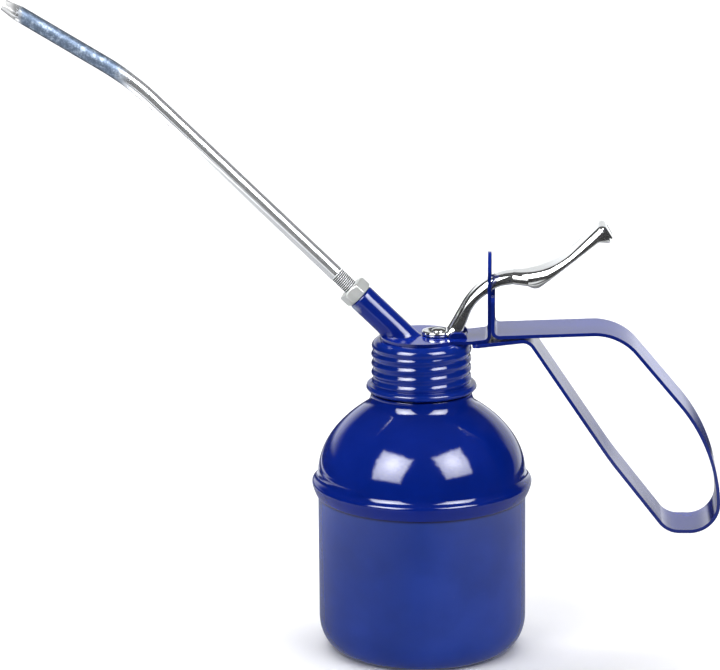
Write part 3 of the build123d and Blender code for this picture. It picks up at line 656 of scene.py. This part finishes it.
END_R, FILLET = 23.47, 6.0
end_z = DOME_Z + DOME_B * math.sqrt(1 - ((END_R - DOME_R0) / DOME_A) ** 2)
lean = math.degrees(math.atan((end_z - DOME_Z) / DOME_B**2 * DOME_A**2 / (END_R - DOME_R0)))
fillet_r = END_R + FILLET * math.cos(math.radians(lean))
fillet_z = end_z + FILLET * math.sin(math.radians(lean))
collar_r = fillet_r - FILLET
dome = [(42.5, 65.5), (42.6, SEAM_Z), (43.2, SEAM_Z), (43.36, 65.55)]
dome += [(43.7, 66.2), (44.1, 67.1), (44.45, 68.1), (44.78, 69.2)]
dome += elliptic(43.3, 70.35, 1.7, 1.7, -12, 55, 9)
dome += elliptic(46.35, 74.7, 3.6, 3.6, 235, 187, 9)
dome += [(42.66, 74.95), (42.59, 75.5), (42.54, 76.1)]
outer_low, inner_low = 76.8, 77.0
dome += [(dome_r(z), z) for z in [outer_low + (end_z - outer_low) * k / 60 for k in range(61)]]
dome += elliptic(fillet_r, fillet_z, FILLET, FILLET, 180 + lean, 180, 14)[1:]
collar_lip = [(0.0, 107.75), (0.08, 107.93), (0.25, 108.0), (0.6, 108.0), (WALL, 107.9)]
dome += [(collar_r - inward, z) for inward, z in collar_lip]
dome += elliptic(fillet_r, fillet_z, FILLET + WALL, FILLET + WALL, 180, 180 + lean, 6)
dome += [(dome_r(z, WALL), z) for z in [end_z - 1.2 - (end_z - inner_low) * k / 20 for k in range(20)]]
dome += [(42.6, 74.2), (42.7, 73.2), (43.4, 72.0), (44.0, 70.8), (44.05, 69.6), (43.3, 67.6), (42.5, 66.4)]
make("can_dome_skin", *loft(lathe(dome, 224), wrap=True), "can", "dome_paint", dome_paint, ["can_dome"])

# ---------------- screw cap with its rolled thread
THREAD_TURNS = 4.1
CREST_HEIGHT = 0.65


def cap_radius(r, z, angle):
    """Adds the rolled thread: rounded crests that climb one pitch a turn, fading at both ends."""
    if r < 19.5 or z > 127.2 or z < 111.2:
        return r
    part = angle / (2 * math.pi)
    crest = CREST_Z - PITCH / 2 + PITCH * part
    turns = (z - crest) / PITCH
    near = min(max(round(turns), 0), int(THREAD_TURNS))
    away = (z - (crest + near * PITCH)) / PITCH
    run = near + part
    fade = min(1.0, max(0.0, run / 0.12 + 0.3)) * min(1.0, max(0.0, (THREAD_TURNS + 0.25 - run) / 0.25))
    wave = 0.5 + 0.5 * math.cos(2 * math.pi * min(0.5, abs(away)))
    return r + CREST_HEIGHT * fade * wave**1.15


cap = [(0.05, CAP_TOP), (10.0, CAP_TOP), (15.6, CAP_TOP)]
cap += elliptic(16.9, 127.0, 3.3, 3.2, 90, 8, 16)
cap += [(20.0, 126.9), (19.86, 126.4), (19.77, 125.9)]
cap += [(19.72, 125.6 - 0.165 * k) for k in range(80)]
cap += [(19.75, 112.3), (19.85, 111.9), (20.15, 111.68), (20.6, 111.62)]
cap += elliptic(21.05, 110.3, 1.43, 1.32, 80, -80, 14)
cap += [(20.9, 108.75), (20.4, 108.62), (19.6, 108.6), (19.1, 108.7), (18.96, 109.0)]
cap += [(18.96, 128.0), (18.5, 129.1), (17.5, 129.4), (0.05, 129.4)]
cap_rings = lathe(cap, 224, radius_at=cap_radius)
make("screw_cap_skin", *loft(cap_rings, wrap=True), "cap", "cap_paint", cap_paint, ["screw_cap"])

# ---------------- bracket plate
plate_line = SideLine(
    [(-PLATE_R, PLATE_MID), (19.8, PLATE_MID), (UPRIGHT_X, 131.9), (UPRIGHT_X, UPRIGHT_TOP)],
    [12.0, 2.4],
)


def half_chord(radius, off):
    """Half the chord of a circle at a distance from its middle."""
    return math.sqrt(max(0.0, radius**2 - off**2))


def is_level(way):
    return abs(way.y) < 0.7


def plate_width(s):
    """A disc, then the tongue, then the upright with its round top."""
    p, way = plate_line.at(s)
    if is_level(way):
        disc = half_chord(PLATE_R, p.x)
        wide = max(disc, TONGUE_HALF) if p.x > 0 else disc
        return max(wide, 0.6)
    top = UPRIGHT_TOP - TONGUE_HALF
    return TONGUE_HALF if p.y < top else max(0.6, half_chord(TONGUE_HALF, p.y - top))


def plate_gap(s):
    """The round hole for the rod, and the slot with round corners for the lever."""
    p, way = plate_line.at(s)
    if is_level(way):
        off = abs(p.x - PUMP_X)
        return (half_chord(ROD_HOLE_R, off), True) if off < HOLE_REACH else (0.4, False)
    if SLOT_LOW <= p.y <= SLOT_HIGH:
        inside = min(p.y - SLOT_LOW, SLOT_HIGH - p.y)
        return (SLOT_HALF - SLOT_CORNER + half_chord(SLOT_CORNER, max(0.0, SLOT_CORNER - inside)), True)
    return (min(4.5, 0.4 + abs(p.y - 133.0) * 0.4), False)


hole = PLATE_R + PUMP_X
slot_levels = [SLOT_LOW, 143.9, 144.2, 144.6, 145.0, 157.6, 158.0, 158.4, 158.7, SLOT_HIGH]
from_top = plate_line.length - UPRIGHT_TOP
plate_marks = sorted(
    set(
        [PLATE_R * (1 - math.cos(math.pi * k / 40)) for k in range(1, 20)]
        + [0.02, 0.2]
        + [hole - ROD_HOLE_R + 0.25 * k for k in range(17)]
        + [hole - HOLE_REACH, hole + HOLE_REACH]
        + plate_line.stops(1.2)
        + [plate_line.length - TONGUE_HALF * (1 - math.sin(math.pi / 2 * k / 20)) for k in range(20)]
        + [from_top + z for z in slot_levels]
    )
)
bent = sheet_strip(plate_line, plate_marks, plate_width, plate_gap, SHEET)
plate = make("top_plate_skin", *bent, "cap", "bracket_paint", bracket_paint, ["top_plate"])
soften(plate, 0.45)

# ---------------- handle strap
strap_line = SideLine(
    [
        (29.2, 149.5),
        (29.2, 133.5),
        (80.2, 135.4),
        (119.6, 88.2),
        (121.5, 52.6),
        (100.2, 52.6),
        (76.8, 82.7),
        (43.7, 132.24),
        (20.9, 129.55),
    ],
    [2.7, 22.0, 68.5, 11.8, 10.0, 147.0, 5.0],
)


def strap_width(s):
    """Constant, with a rounded corner at each end."""
    end = min(s, strap_line.length - s)
    if end >= STRAP_CORNER:
        return STRAP_HALF
    return STRAP_HALF - STRAP_CORNER + half_chord(STRAP_CORNER, STRAP_CORNER - end)


def strap_gap(s):
    """The notch in the top end, which keeps the upright's slot clear."""
    return SLOT_HALF, s < SLOT_HALF


end_marks = [0.05, 0.3, 0.8, 1.5, STRAP_CORNER]
far_marks = [strap_line.length - d for d in end_marks]
strap_marks = sorted(set(strap_line.stops(2.5, 0.05) + end_marks + [SLOT_HALF] + far_marks))
bent = sheet_strip(strap_line, strap_marks, strap_width, strap_gap, SHEET)
strap = make("handle_strap_skin", *bent, "cap", "bracket_paint", strap_paint, ["handle_strap"])
soften(strap, 0.35)

# ---------------- fulcrum ears
ear_outline = [(11.3, 131.5), (11.6, 132.9), (12.3, 133.9), (17.6, 133.9), (18.4, 133.0), (18.9, 131.5)]
saddle = [(13.5, 131.5), (13.5, 132.2), (14.6, 132.1), (16.0, 131.95)]
saddle += [(17.4, 132.1), (18.0, 132.6), (18.6, 131.5)]
verts, faces = [], []
for outline, near, far in ((ear_outline, -6.6, -5.15), (ear_outline, 5.15, 6.6), (saddle, -5.2, 5.2)):
    more_verts, more_faces = slab(outline, near, far, len(verts))
    verts += more_verts
    faces += more_faces
ears = make("fulcrum_ears", verts, faces, "cap", "bracket_paint", bracket_paint, ["fulcrum_block"])
soften(ears, 0.35)

# ---------------- lever
lever_line = SideLine(
    [(9.6, 133.7), (10.4, 133.7), (19.2, 149.5), (31.1, 159.0), (51.0, 157.6), (73.3, 179.6), (77.2, 173.0)],
    [1.4, 29.0, 23.0, 32.0, 2.4],
)
under_line = SideLine(
    [(75.4, 171.6), (71.6, 171.8), (46.5, 151.8), (40.9, 154.4), (31.3, 153.0), (21.4, 145.9), (17.5, 135.2)],
    [1.5, 4.0, 4.0, 10.0, 17.0],
)
under = [under_line.at(s)[0] for s in under_line.stops(0.6)]
for k in range(15):
    a = math.pi * k / 14
    under.append(Vector((PIVOT[0] + HEEL_R * math.cos(a), PIVOT[1] - HEEL_R * math.sin(a))))
under += [Vector((12.9, 133.6)), Vector((11.4, 131.7)), Vector((6.0, 131.7))]


def depth_at(point, inward):
    """Distance from the top line to the lever's lower outline, straight through the sheet."""
    best = 12.0
    for a, b in zip(under, under[1:]):
        run = b - a
        cross = inward.x * run.y - inward.y * run.x
        if abs(cross) < 1e-9:
            continue
        off = a - point
        t = (off.x * run.y - off.y * run.x) / cross
        u = (off.x * inward.y - off.y * inward.x) / cross
        if t > 0.3 and -1e-6 <= u <= 1 + 1e-6:
            best = min(best, t)
    return best


def arm_half_width(x):
    """Half width of the arm, the wide pad and the rounded nose."""
    if x < 37.0:
        return ARM_HALF
    if x < 52.0:
        t = (x - 37.0) / 15.0
        return ARM_HALF + 3.2 * t * t * (3 - 2 * t)
    if x < 72.0:
        return 8.1 - 0.025 * (x - 52.0)
    return 7.6 - 2.0 * min(1.0, (x - 72.0) / 5.5) ** 2


def channel(width, depth):
    """Half of the pressed channel's outline, as (sideways, down), outside then inside."""
    outside = [(0.0, 0.0)]
    flat = width - 2.0
    outside += [(flat * 0.5, 0.02), (flat, 0.06)]
    y, d = flat, 0.06
    for radius, start, end, count in ((0.7, 88, 52, 5), (4.2, 52, 8, 12)):
        scale = min(1.0, depth / 4.2)
        for k in range(count):
            phi = math.radians(start + (end - start) * (k + 0.5) / count)
            step = radius * math.radians(abs(end - start)) / count * scale
            y += math.sin(phi) * step
            d += math.cos(phi) * step
            outside.append((y, d))
    widest = outside[-1][0]
    shift = width - widest
    outside = [(p + shift * min(1.0, p / widest), q) for p, q in outside]
    floor = max(depth, d + 0.35)
    rim = width + 0.02
    outside += [(rim, d + (floor - d) * 0.5), (rim, floor - 0.35)]
    outside += [(rim - 0.12, floor - 0.1), (rim - 0.4, floor)]
    inner = width - LEVER_SHEET
    inside = [(inner + 0.4, floor), (inner + 0.1, floor - 0.12), (inner, floor - 0.35)]
    web = min(LEVER_SHEET, floor * 0.6)
    inside += [(inner - 0.1, web + (floor - web) * 0.45), (inner - 0.9, web + 0.35)]
    inside += [(inner - 2.0, web + 0.02), (0.0, web)]
    return outside + inside


rings = []
lever_marks = [s for s in lever_line.stops(0.7, 0.09) if s > 0.4]
for s in lever_marks:
    point, way = lever_line.at(s)
    normal = Vector((-way.y, way.x))
    deepest = 7.4 if point.x > 20 else 5.6
    depth = max(2.0, min(depth_at(point, -normal), deepest))
    profile = channel(arm_half_width(point.x), depth)
    ring = [Vector((point.x - normal.x * d, y, point.y - normal.y * d)) for y, d in profile]
    ring += [Vector((point.x - normal.x * d, -y, point.y - normal.y * d)) for y, d in reversed(profile[1:-1])]
    rings.append(ring)
lever_verts, lever_faces = loft(rings, closed_ends=True)
ring_lever = len(lever_verts)


def foot_ring(radius_y, radius_x, centre, z, count=72):
    turns = angles(count)
    return [Vector((centre + radius_x * math.cos(a), radius_y * math.sin(a), z)) for a in turns]


foot = [(5.7, 5.7, 6.4, 131.7), (6.05, 6.05, 6.4, 131.85), (6.2, 6.2, 6.4, 132.2)]
foot += [(6.2, 6.2, 6.4, 133.1), (6.05, 6.05, 6.4, 133.45), (5.75, 5.75, 6.4, 133.65), (5.3, 5.3, 6.5, 133.7)]
foot += [(4.7, 4.7, 6.7, 133.68), (4.3, 4.3, 6.9, 133.55), (4.1, 4.1, 7.0, 133.25), (4.0, 4.0, 7.0, 133.0)]
foot += [(3.7, 3.7, 7.0, 132.9), (2.15, 3.15, 6.1, 132.88), (2.0, 3.0, 6.1, 132.7), (2.0, 3.0, 6.1, 131.9)]
foot += [(2.1, 3.1, 6.1, 131.7)]
foot_verts, foot_faces = loft([foot_ring(ry, rx, c, z) for ry, rx, c, z in foot], wrap=True)
lever_verts += foot_verts
lever_faces += [tuple(v + ring_lever for v in f) for f in foot_faces]
make("lever_skin", lever_verts, lever_faces, "lever", "lever_chrome", chrome, ["lever"], sharp=55)

# ---------------- rod head
head = [(0.05, 134.5), (0.9, 134.48), (1.7, 134.33), (2.3, 134.08), (2.7, 133.8), (2.88, 133.5), (2.9, 133.2)]
head += [(2.8, 133.03), (2.6, 133.0), (1.75, 133.0)]
head += [(1.6, 132.9), (1.6, 120.0), (1.6, 105.1), (1.5, 105.0), (0.05, 105.0)]
rod_rings = lathe(head, 64, x=PUMP_X)
make("piston_rod_skin", *loft(rod_rings, wrap=True), "plunger", "inner_steel", chrome, ["piston_rod"])

# ---------------- return spring, shortened by the plunger
SPRING_LOW, SPRING_HIGH = 108.0, 118.4
WIRE_R = 0.5
COIL_R = 3.7
TURNS = 7.0
CLOSED_RISE = 0.92
STEPS_A_TURN = 32
WIRE_SIDES = 12
free = SPRING_HIGH - SPRING_LOW - 2 * WIRE_R - 2 * CLOSED_RISE
rings = []
for k in range(int(TURNS * STEPS_A_TURN) + 1):
    turn = k / STEPS_A_TURN
    open_turns = min(1.0, max(0.0, (turn - 1.0) / (TURNS - 2.0)))
    dead = CLOSED_RISE * (min(1.0, turn) + max(0.0, turn - (TURNS - 1.0)))
    centre_z = SPRING_LOW + WIRE_R + dead + free * open_turns
    around = Vector((math.cos(2 * math.pi * turn), math.sin(2 * math.pi * turn), 0))
    hub = Vector((PUMP_X, 0, centre_z)) + around * COIL_R
    wire = [(WIRE_R * math.cos(a), WIRE_R * math.sin(a)) for a in angles(WIRE_SIDES)]
    rings.append([hub + around * outward + Vector((0, 0, rise)) for outward, rise in wire])
coils = loft(rings, closed_ends=True)
spring = make("return_spring_skin", *coils, "cap", "inner_steel", steel, ["return_spring"])
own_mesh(spring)

# ---------------- spout socket with its weld
def socket_spokes(radius, count=96):
    """Arms round the spout's axis, square to it."""
    other = SPOUT_DIR.cross(ACROSS)
    return [ACROSS * (radius * math.cos(a)) + other * (radius * math.sin(a)) for a in angles(count)]


def square_ring(radius, distance):
    """A ring round the spout's axis, square to it."""
    return [SPOUT_BASE + SPOUT_DIR * distance + spoke for spoke in socket_spokes(radius)]


def level_ring(radius, level):
    """A ring round the spout's axis, cut level at a height."""
    starts = [SPOUT_BASE + spoke for spoke in socket_spokes(radius)]
    return [start + SPOUT_DIR * ((level - start.z) / SPOUT_DIR.z) for start in starts]


weld = [(6.9, 130.3), (6.35, 131.0), (6.0, 131.55), (5.72, 132.2)]
foot_of_socket = level_ring(SOCKET_R, 133.2)
shoulder = square_ring(SOCKET_R, 17.0)
socket = [level_ring(radius, level) for radius, level in weld]
for share in (0.0, 0.33, 0.66, 1.0):
    socket.append([near.lerp(far, share) for near, far in zip(foot_of_socket, shoulder)])
straight_end = SOCKET_END - SOCKET_ROUND
socket += [square_ring(SOCKET_R, distance) for distance in (19.0, 21.5, straight_end)]
for k in range(1, 6):
    a = math.pi / 2 * k / 5
    rounded_r = SOCKET_R - SOCKET_ROUND + SOCKET_ROUND * math.cos(a)
    socket.append(square_ring(rounded_r, straight_end + SOCKET_ROUND * math.sin(a)))
socket += [square_ring(3.5, SOCKET_END), square_ring(3.24, SOCKET_END - 0.3), square_ring(3.24, 11.0)]
pipe = loft(socket, closed_ends=True)
make("spout_socket_skin", *pipe, "cap", "bracket_paint", socket_paint, ["spout_socket"])

# ---------------- lock nut
NUT_ACROSS_FLATS = 11.1
NUT_START = 25.0


def nut_radius(r, z, angle):
    """Hexagon with cut corners; the profile's radius is the chamfer cone."""
    if r < 4.2:
        return r
    from_flat = (angle + math.radians(30)) % math.radians(60) - math.radians(30)
    return min(r, NUT_ACROSS_FLATS / 2 / math.cos(from_flat))


nut = [(3.25, 0.15), (3.7, 0.0), (4.9, 0.0), (5.62, 0.12), (6.0, 0.35), (6.39, 0.62), (6.45, 1.6)]
nut += [(6.45, 3.7), (6.39, 4.68), (6.0, 4.95), (5.62, 5.18), (4.9, 5.3), (3.7, 5.3), (3.25, 5.15)]
nut = [(r, NUT_START + z) for r, z in nut]
nut_rings = lathe(nut, 144, origin=SPOUT_BASE, axis=SPOUT_DIR, radius_at=nut_radius)
nut_skin = make("lock_nut_skin", *loft(nut_rings, wrap=True), "nut", "nut_zinc", zinc, ["lock_nut"], sharp=25)
soften(nut_skin, 0.12, 2, 40)

# ---------------- spout tube with its thread
run_start = SPOUT_BASE + SPOUT_DIR * TUBE_START
run_end = SPOUT_BASE + SPOUT_DIR * 152.3
tip_end = run_end + Vector((-math.cos(TIP_ANGLE), 0, math.sin(TIP_ANGLE))) * 58.8
tube_line = SideLine([(p.x, p.z) for p in (run_start, run_end, tip_end)], [110.0])
THREAD_START = 14.0
THREAD_END = 38.4 - TUBE_START
THREAD_STEP = 0.072
THREAD_DEPTH = 0.22
FINE_PITCH = 0.78
TAPER = 6.9
TUBE_SIDES = 72


def tube_radius(s, angle):
    """Plain tube, cut thread near the socket, and the tapered open tip."""
    left = tube_line.length - s
    if left < TAPER:
        t = min(1.0, (TAPER - left) / TAPER)
        return TUBE_R - 0.975 * min(1.0, t * 1.03) ** 1.1
    if s < THREAD_END:
        phase = (s / FINE_PITCH - angle / (2 * math.pi)) % 1.0
        valley = 0.5 + 0.5 * math.cos(2 * math.pi * phase)
        fade = min(1.0, max(0.0, (THREAD_END - s) / 0.6))
        return TUBE_R - THREAD_DEPTH * valley * fade
    return TUBE_R


def tube_ring(s, radii):
    """A ring square to the tube at a distance along it, with one radius for each point."""
    point, way = tube_line.at(s)
    return ring_about(Vector((point.x, 0, point.y)), Vector((way.x, 0, way.y)), radii)


thread_steps = int((THREAD_END + 0.4 - THREAD_START) / THREAD_STEP)
thread_marks = [THREAD_START + THREAD_STEP * k for k in range(thread_steps)]
tube_marks = [0.0, 7.0, 13.9] + thread_marks
tube_marks += [s for s in tube_line.stops(3.0, 0.02) if thread_marks[-1] + 0.3 < s < tube_line.length - 7.2]
tube_marks += [tube_line.length - d for d in (7.0, 6.7, 6.3, 5.6, 4.6, 3.4, 2.2, 1.0, 0.35, 0.1, 0.0)]
rings = []
grooves = []
for s in tube_marks:
    radii = [tube_radius(s, a) for a in angles(TUBE_SIDES)]
    grooves += [0.25 + 0.75 * (TUBE_R - r) / THREAD_DEPTH if s < THREAD_END else 0.0 for r in radii]
    left = tube_line.length - s
    if left < 0.3:
        radii = [r - 0.12 * (1 - left / 0.35) for r in radii]
    rings.append(tube_ring(s, radii))
for depth, r in ((0.0, 1.55), (0.15, 1.42), (3.0, 1.4), (6.4, 1.4), (6.6, TUBE_BORE_R)):
    rings.append(tube_ring(tube_line.length - depth, [r] * TUBE_SIDES))
for s in [m for m in reversed(tube_line.stops(12.0, 0.05)) if m < tube_line.length - 7]:
    rings.append(tube_ring(s, [TUBE_BORE_R] * TUBE_SIDES))
skin = loft(rings, wrap=True)
tube = make("spout_tube_skin", *skin, "spout", "spout_nickel", nickel, ["spout_tube"], sharp=50)
grooves += [0.0] * (len(tube.data.vertices) - len(grooves))
tube.data.attributes.new("groove", "FLOAT", "POINT").data.foreach_set("value", grooves)

# ---------------- stage
def stage_mesh(name, verts, faces, material):
    mesh = bpy.data.meshes.new(name)
    mesh.from_pydata(verts, [], faces)
    mesh.polygons.foreach_set("use_smooth", [True] * len(mesh.polygons))
    mesh.materials.append(material)
    obj = placed(name, mesh)
    return obj


def aim(obj, centre, target):
    """Puts an object at a centre with its face towards a target."""
    obj.location = centre
    obj.rotation_mode = "QUATERNION"
    obj.rotation_quaternion = (Vector(target) - Vector(centre)).to_track_quat("-Z", "Y")


def lamp(name, centre, target, width, height, strength):
    """A soft light that faces a point. It lights surfaces and isn't mirrored in them; the cards are."""
    data = bpy.data.lights.new(name, "AREA")
    data.shape = "RECTANGLE"
    data.size = width
    data.size_y = height
    data.energy = strength
    obj = placed(name, data)
    aim(obj, centre, target)
    obj.visible_glossy = False


def mirror_only(obj):
    """Seen in reflections and by nothing else."""
    obj.visible_camera = False
    obj.visible_diffuse = False
    obj.visible_transmission = False
    obj.visible_shadow = False


def glow_material(name, strength, colour=(0.95, 0.97, 1.0)):
    """An emission material whose strength comes from strength(tree, coords)."""
    mat = bpy.data.materials.new(name)
    mat.use_nodes = True
    tree = mat.node_tree
    tree.nodes.clear()
    coords = tree.nodes.new("ShaderNodeTexCoord")
    glow = node(tree, "ShaderNodeEmission", Color=(*colour, 1))
    end = tree.nodes.new("ShaderNodeOutputMaterial")
    tree.links.new(strength(tree, coords), glow.inputs["Strength"])
    tree.links.new(glow.outputs["Emission"], end.inputs["Surface"])
    return mat


def card(name, centre, target, width, height, strength, core):
    """A glowing panel that only mirrors see: ragged at its rim, and brightest at its core."""

    def strength_at(tree, coords):
        mapping = node(tree, "ShaderNodeMapping", Scale=(2.0 / width, 2.0 / height, 1.0))
        tree.links.new(coords.outputs["Object"], mapping.inputs["Vector"])
        axes = axes_of(tree, mapping.outputs["Vector"])
        across, down = (maths(tree, "ABSOLUTE", axes[name]) for name in "XY")
        square = maths(tree, "MAXIMUM", across, down)
        ragged = product(tree, noise(tree, coords, 5.5, 5.0, 0.6, distortion=0.4), 0.30)
        inside = ramp(tree, maths(tree, "ADD", square, ragged), [(0.84, 1.0), (1.10, 0.0)])
        middle_of = node(tree, "ShaderNodeVectorMath", operation="DISTANCE")
        tree.links.new(mapping.outputs["Vector"], middle_of.inputs[0])
        middle_of.inputs[1].default_value = (*core, 0.0)
        hot = ramp(tree, middle_of.outputs["Value"], [(0.10, 1.0), (0.55, 0.62), (1.2, 0.42)])
        bands = noise(tree, coords, 9.0, 4.0, 0.6, stretch=(1.0, 2.2, 1.0))
        streaks = ramp(tree, bands, [(0.35, 0.72), (0.6, 1.0)])
        return product(tree, inside, product(tree, hot, streaks), strength)

    w, h = width / 2, height / 2
    glow = glow_material(name, strength_at, (0.96, 0.97, 1.0))
    obj = stage_mesh(name, [(-w, -h, 0), (w, -h, 0), (w, h, 0), (-w, h, 0)], [(0, 3, 2, 1)], glow)
    aim(obj, centre, target)
    mirror_only(obj)


def paper(name):
    """White paper with a faint unevenness."""
    mat, tree, shader, coords = tree_of(name)
    tone = ramp(tree, noise(tree, coords, 3.0, 3.0), [(0.3, (0.90, 0.90, 0.905)), (0.7, (0.93, 0.93, 0.93))])
    tree.links.new(tone, shader.inputs["Base Color"])
    shader.inputs["Roughness"].default_value = 0.9
    shader.inputs["Specular IOR Level"].default_value = 0.1
    return mat


FLOOR_HALF = 3.6
SWEEP_START = 1.3
SWEEP_R = 0.9
sweep = [(-FLOOR_HALF, 0.0), (SWEEP_START, 0.0)]
for k in range(1, 25):
    a = math.pi / 2 * k / 24
    sweep.append((SWEEP_START + SWEEP_R * math.sin(a), SWEEP_R - SWEEP_R * math.cos(a)))
sweep.append((SWEEP_START + SWEEP_R, 2.2))
floor_verts = [(x, y, z) for y, z in sweep for x in (-FLOOR_HALF, FLOOR_HALF)]
floor_faces = [(2 * k, 2 * k + 1, 2 * k + 3, 2 * k + 2) for k in range(len(sweep) - 1)]
floor = stage_mesh("studio_floor", floor_verts, floor_faces, paper("floor_paper"))
floor.visible_glossy = False

middle = (0.0, 0.0, 0.09)


def towards(azimuth, elevation, distance):
    a, e = math.radians(azimuth), math.radians(elevation)
    return (
        math.sin(a) * math.cos(e) * distance,
        -math.cos(a) * math.cos(e) * distance,
        math.sin(e) * distance + middle[2],
    )


def room_strength(tree, coords):
    """A dark studio with a pale backdrop low on its far side and a faint ceiling."""
    unit = node(tree, "ShaderNodeVectorMath", operation="NORMALIZE")
    tree.links.new(coords.outputs["Object"], unit.inputs[0])
    axes = axes_of(tree, unit.outputs["Vector"])
    tilt = scaled(tree, axes["X"], 0.25, 0.05)
    height = scaled(tree, maths(tree, "ADD", axes["Z"], tilt), 0.5, 0.5)
    depth = scaled(tree, axes["Y"], 0.5, 0.5)
    stops = [(0.480, 0.02), (0.5, 0.45), (0.52, 0.95), (0.56, 0.85), (0.62, 0.62), (0.80, 0.62), (0.88, 0.03)]
    climb = ramp(tree, height, stops)
    behind = ramp(tree, depth, [(0.74, 0.0), (0.90, 1.0)])
    high = scaled(tree, maths(tree, "ABSOLUTE", axes["X"]), 0.3, axes["Z"])
    wall = product(tree, climb, behind, ramp(tree, high, [(0.42, 1.0), (0.58, 0.0)]), 1.6)
    ceiling = ramp(tree, height, [(0.5, 0.0), (0.75, 0.02), (1.0, 0.05)])
    return maths(tree, "ADD", maths(tree, "ADD", wall, ceiling), 0.010)


def table_strength(tree, coords):
    """Pale near the can and more so at its sides, then dark, then bright far out on the left."""
    far = node(tree, "ShaderNodeVectorMath", operation="LENGTH")
    tree.links.new(coords.outputs["Object"], far.inputs[0])
    distance = far.outputs["Value"]
    across = axes_of(tree, coords.outputs["Object"])["X"]
    rings = [(0.05, 0.46), (0.12, 0.40), (0.25, 0.36), (0.30, 0.95), (0.35, 0.95), (0.37, 0.02)]
    near = product(tree, ramp(tree, distance, rings), scaled(tree, maths(tree, "ABSOLUTE", across), 6.0, 0.5))
    leftward = ramp(tree, product(tree, across, -1.0), [(0.10, 0.0), (0.25, 1.0)])
    outer = ramp(tree, distance, [(0.45, 0.0), (0.50, 1.0)])
    return maths(tree, "ADD", near, product(tree, outer, leftward, 1.6))


def room_mesh(radius, rows=24, columns=48):
    """A sphere seen from inside."""
    verts = []
    for i in range(rows + 1):
        e = math.pi * (i / rows - 0.5)
        out, level = radius * math.cos(e), radius * math.sin(e)
        verts += [(out * math.cos(a), out * math.sin(a), level) for a in angles(columns)]
    faces = []
    for i in range(rows):
        for k in range(columns):
            n = (k + 1) % columns
            faces.append((i * columns + k, (i + 1) * columns + k, (i + 1) * columns + n, i * columns + n))
    return verts, faces


room = stage_mesh("mirror_room", *room_mesh(2.4), glow_material("mirror_room", room_strength))
room.location = middle
mirror_only(room)
TABLE_R = 0.6
TABLE_SIDES = 64
table = stage_mesh(
    "mirror_table",
    [(TABLE_R * math.cos(a), TABLE_R * math.sin(a), 0) for a in angles(TABLE_SIDES)],
    [tuple(range(TABLE_SIDES))],
    glow_material("mirror_table", table_strength),
)
table.location = (0, 0, -0.002)
mirror_only(table)
lamp("soft_front_left", towards(-38, 37, 1.5), middle, 0.95, 0.95, 9)
lamp("soft_front_right", towards(47, 40, 1.5), middle, 0.95, 0.95, 9)
lamp("soft_overhead", (0.0, 0.1, 2.2), (0.0, 0.1, 0.0), 2.6, 2.6, 30)
lamp("backdrop_wash", (0.0, 0.55, 1.9), (0.0, 1.9, 0.1), 3.2, 0.6, 40)
card("card_front_left", towards(-39, 35, 1.5), middle, 1.2, 1.38, 27, (0.0, 0.25))
card("card_front_right", towards(46, 39, 1.5), middle, 1.1, 1.22, 24, (0.0, 0.2))

world = bpy.data.worlds.new("studio")
bpy.context.scene.world = world
world.use_nodes = True
background = world.node_tree.nodes["Background"]
background.inputs["Color"].default_value = (0.80, 0.86, 1.0, 1)
background.inputs["Strength"].default_value = 0.06

# ---------------- camera
DISTANCE = 1500.0
AZIMUTH = math.radians(1.8)
ELEVATION = math.radians(16.75)
YAW, PITCH_UP, ROLL = -0.0168, 0.0463, -0.0033
eye = Vector(
    (
        DISTANCE * math.cos(ELEVATION) * math.sin(AZIMUTH),
        -DISTANCE * math.cos(ELEVATION) * math.cos(AZIMUTH),
        60.0 + DISTANCE * math.sin(ELEVATION),
    )
)
level_part = math.cos(ELEVATION)
ahead = Vector((-level_part * math.sin(AZIMUTH), level_part * math.cos(AZIMUTH), -math.sin(ELEVATION)))
right = Vector((math.cos(AZIMUTH), math.sin(AZIMUTH), 0))
up = right.cross(ahead)


def swing(first, second, angle):
    """Two square directions, turned by an angle from the first towards the second."""
    cosine, sine = math.cos(angle), math.sin(angle)
    return first * cosine + second * sine, second * cosine - first * sine


ahead, right = swing(ahead, right, YAW)
ahead, up = swing(ahead, up, PITCH_UP)
right, up = swing(right, up, ROLL)
camera_data = bpy.data.cameras.new("camera")
camera = placed("camera", camera_data)
camera_data.sensor_width = 36.0
camera_data.lens = 182.335
camera_data.clip_start = 0.05
camera_data.clip_end = 20.0
turn = Matrix((right, up, -ahead)).transposed().to_4x4()
camera.matrix_world = Matrix.Translation(eye * MM) @ turn
bpy.context.scene.camera = camera
bpy.context.scene.view_settings.view_transform = "Standard"
bpy.context.scene.view_settings.look = "None"
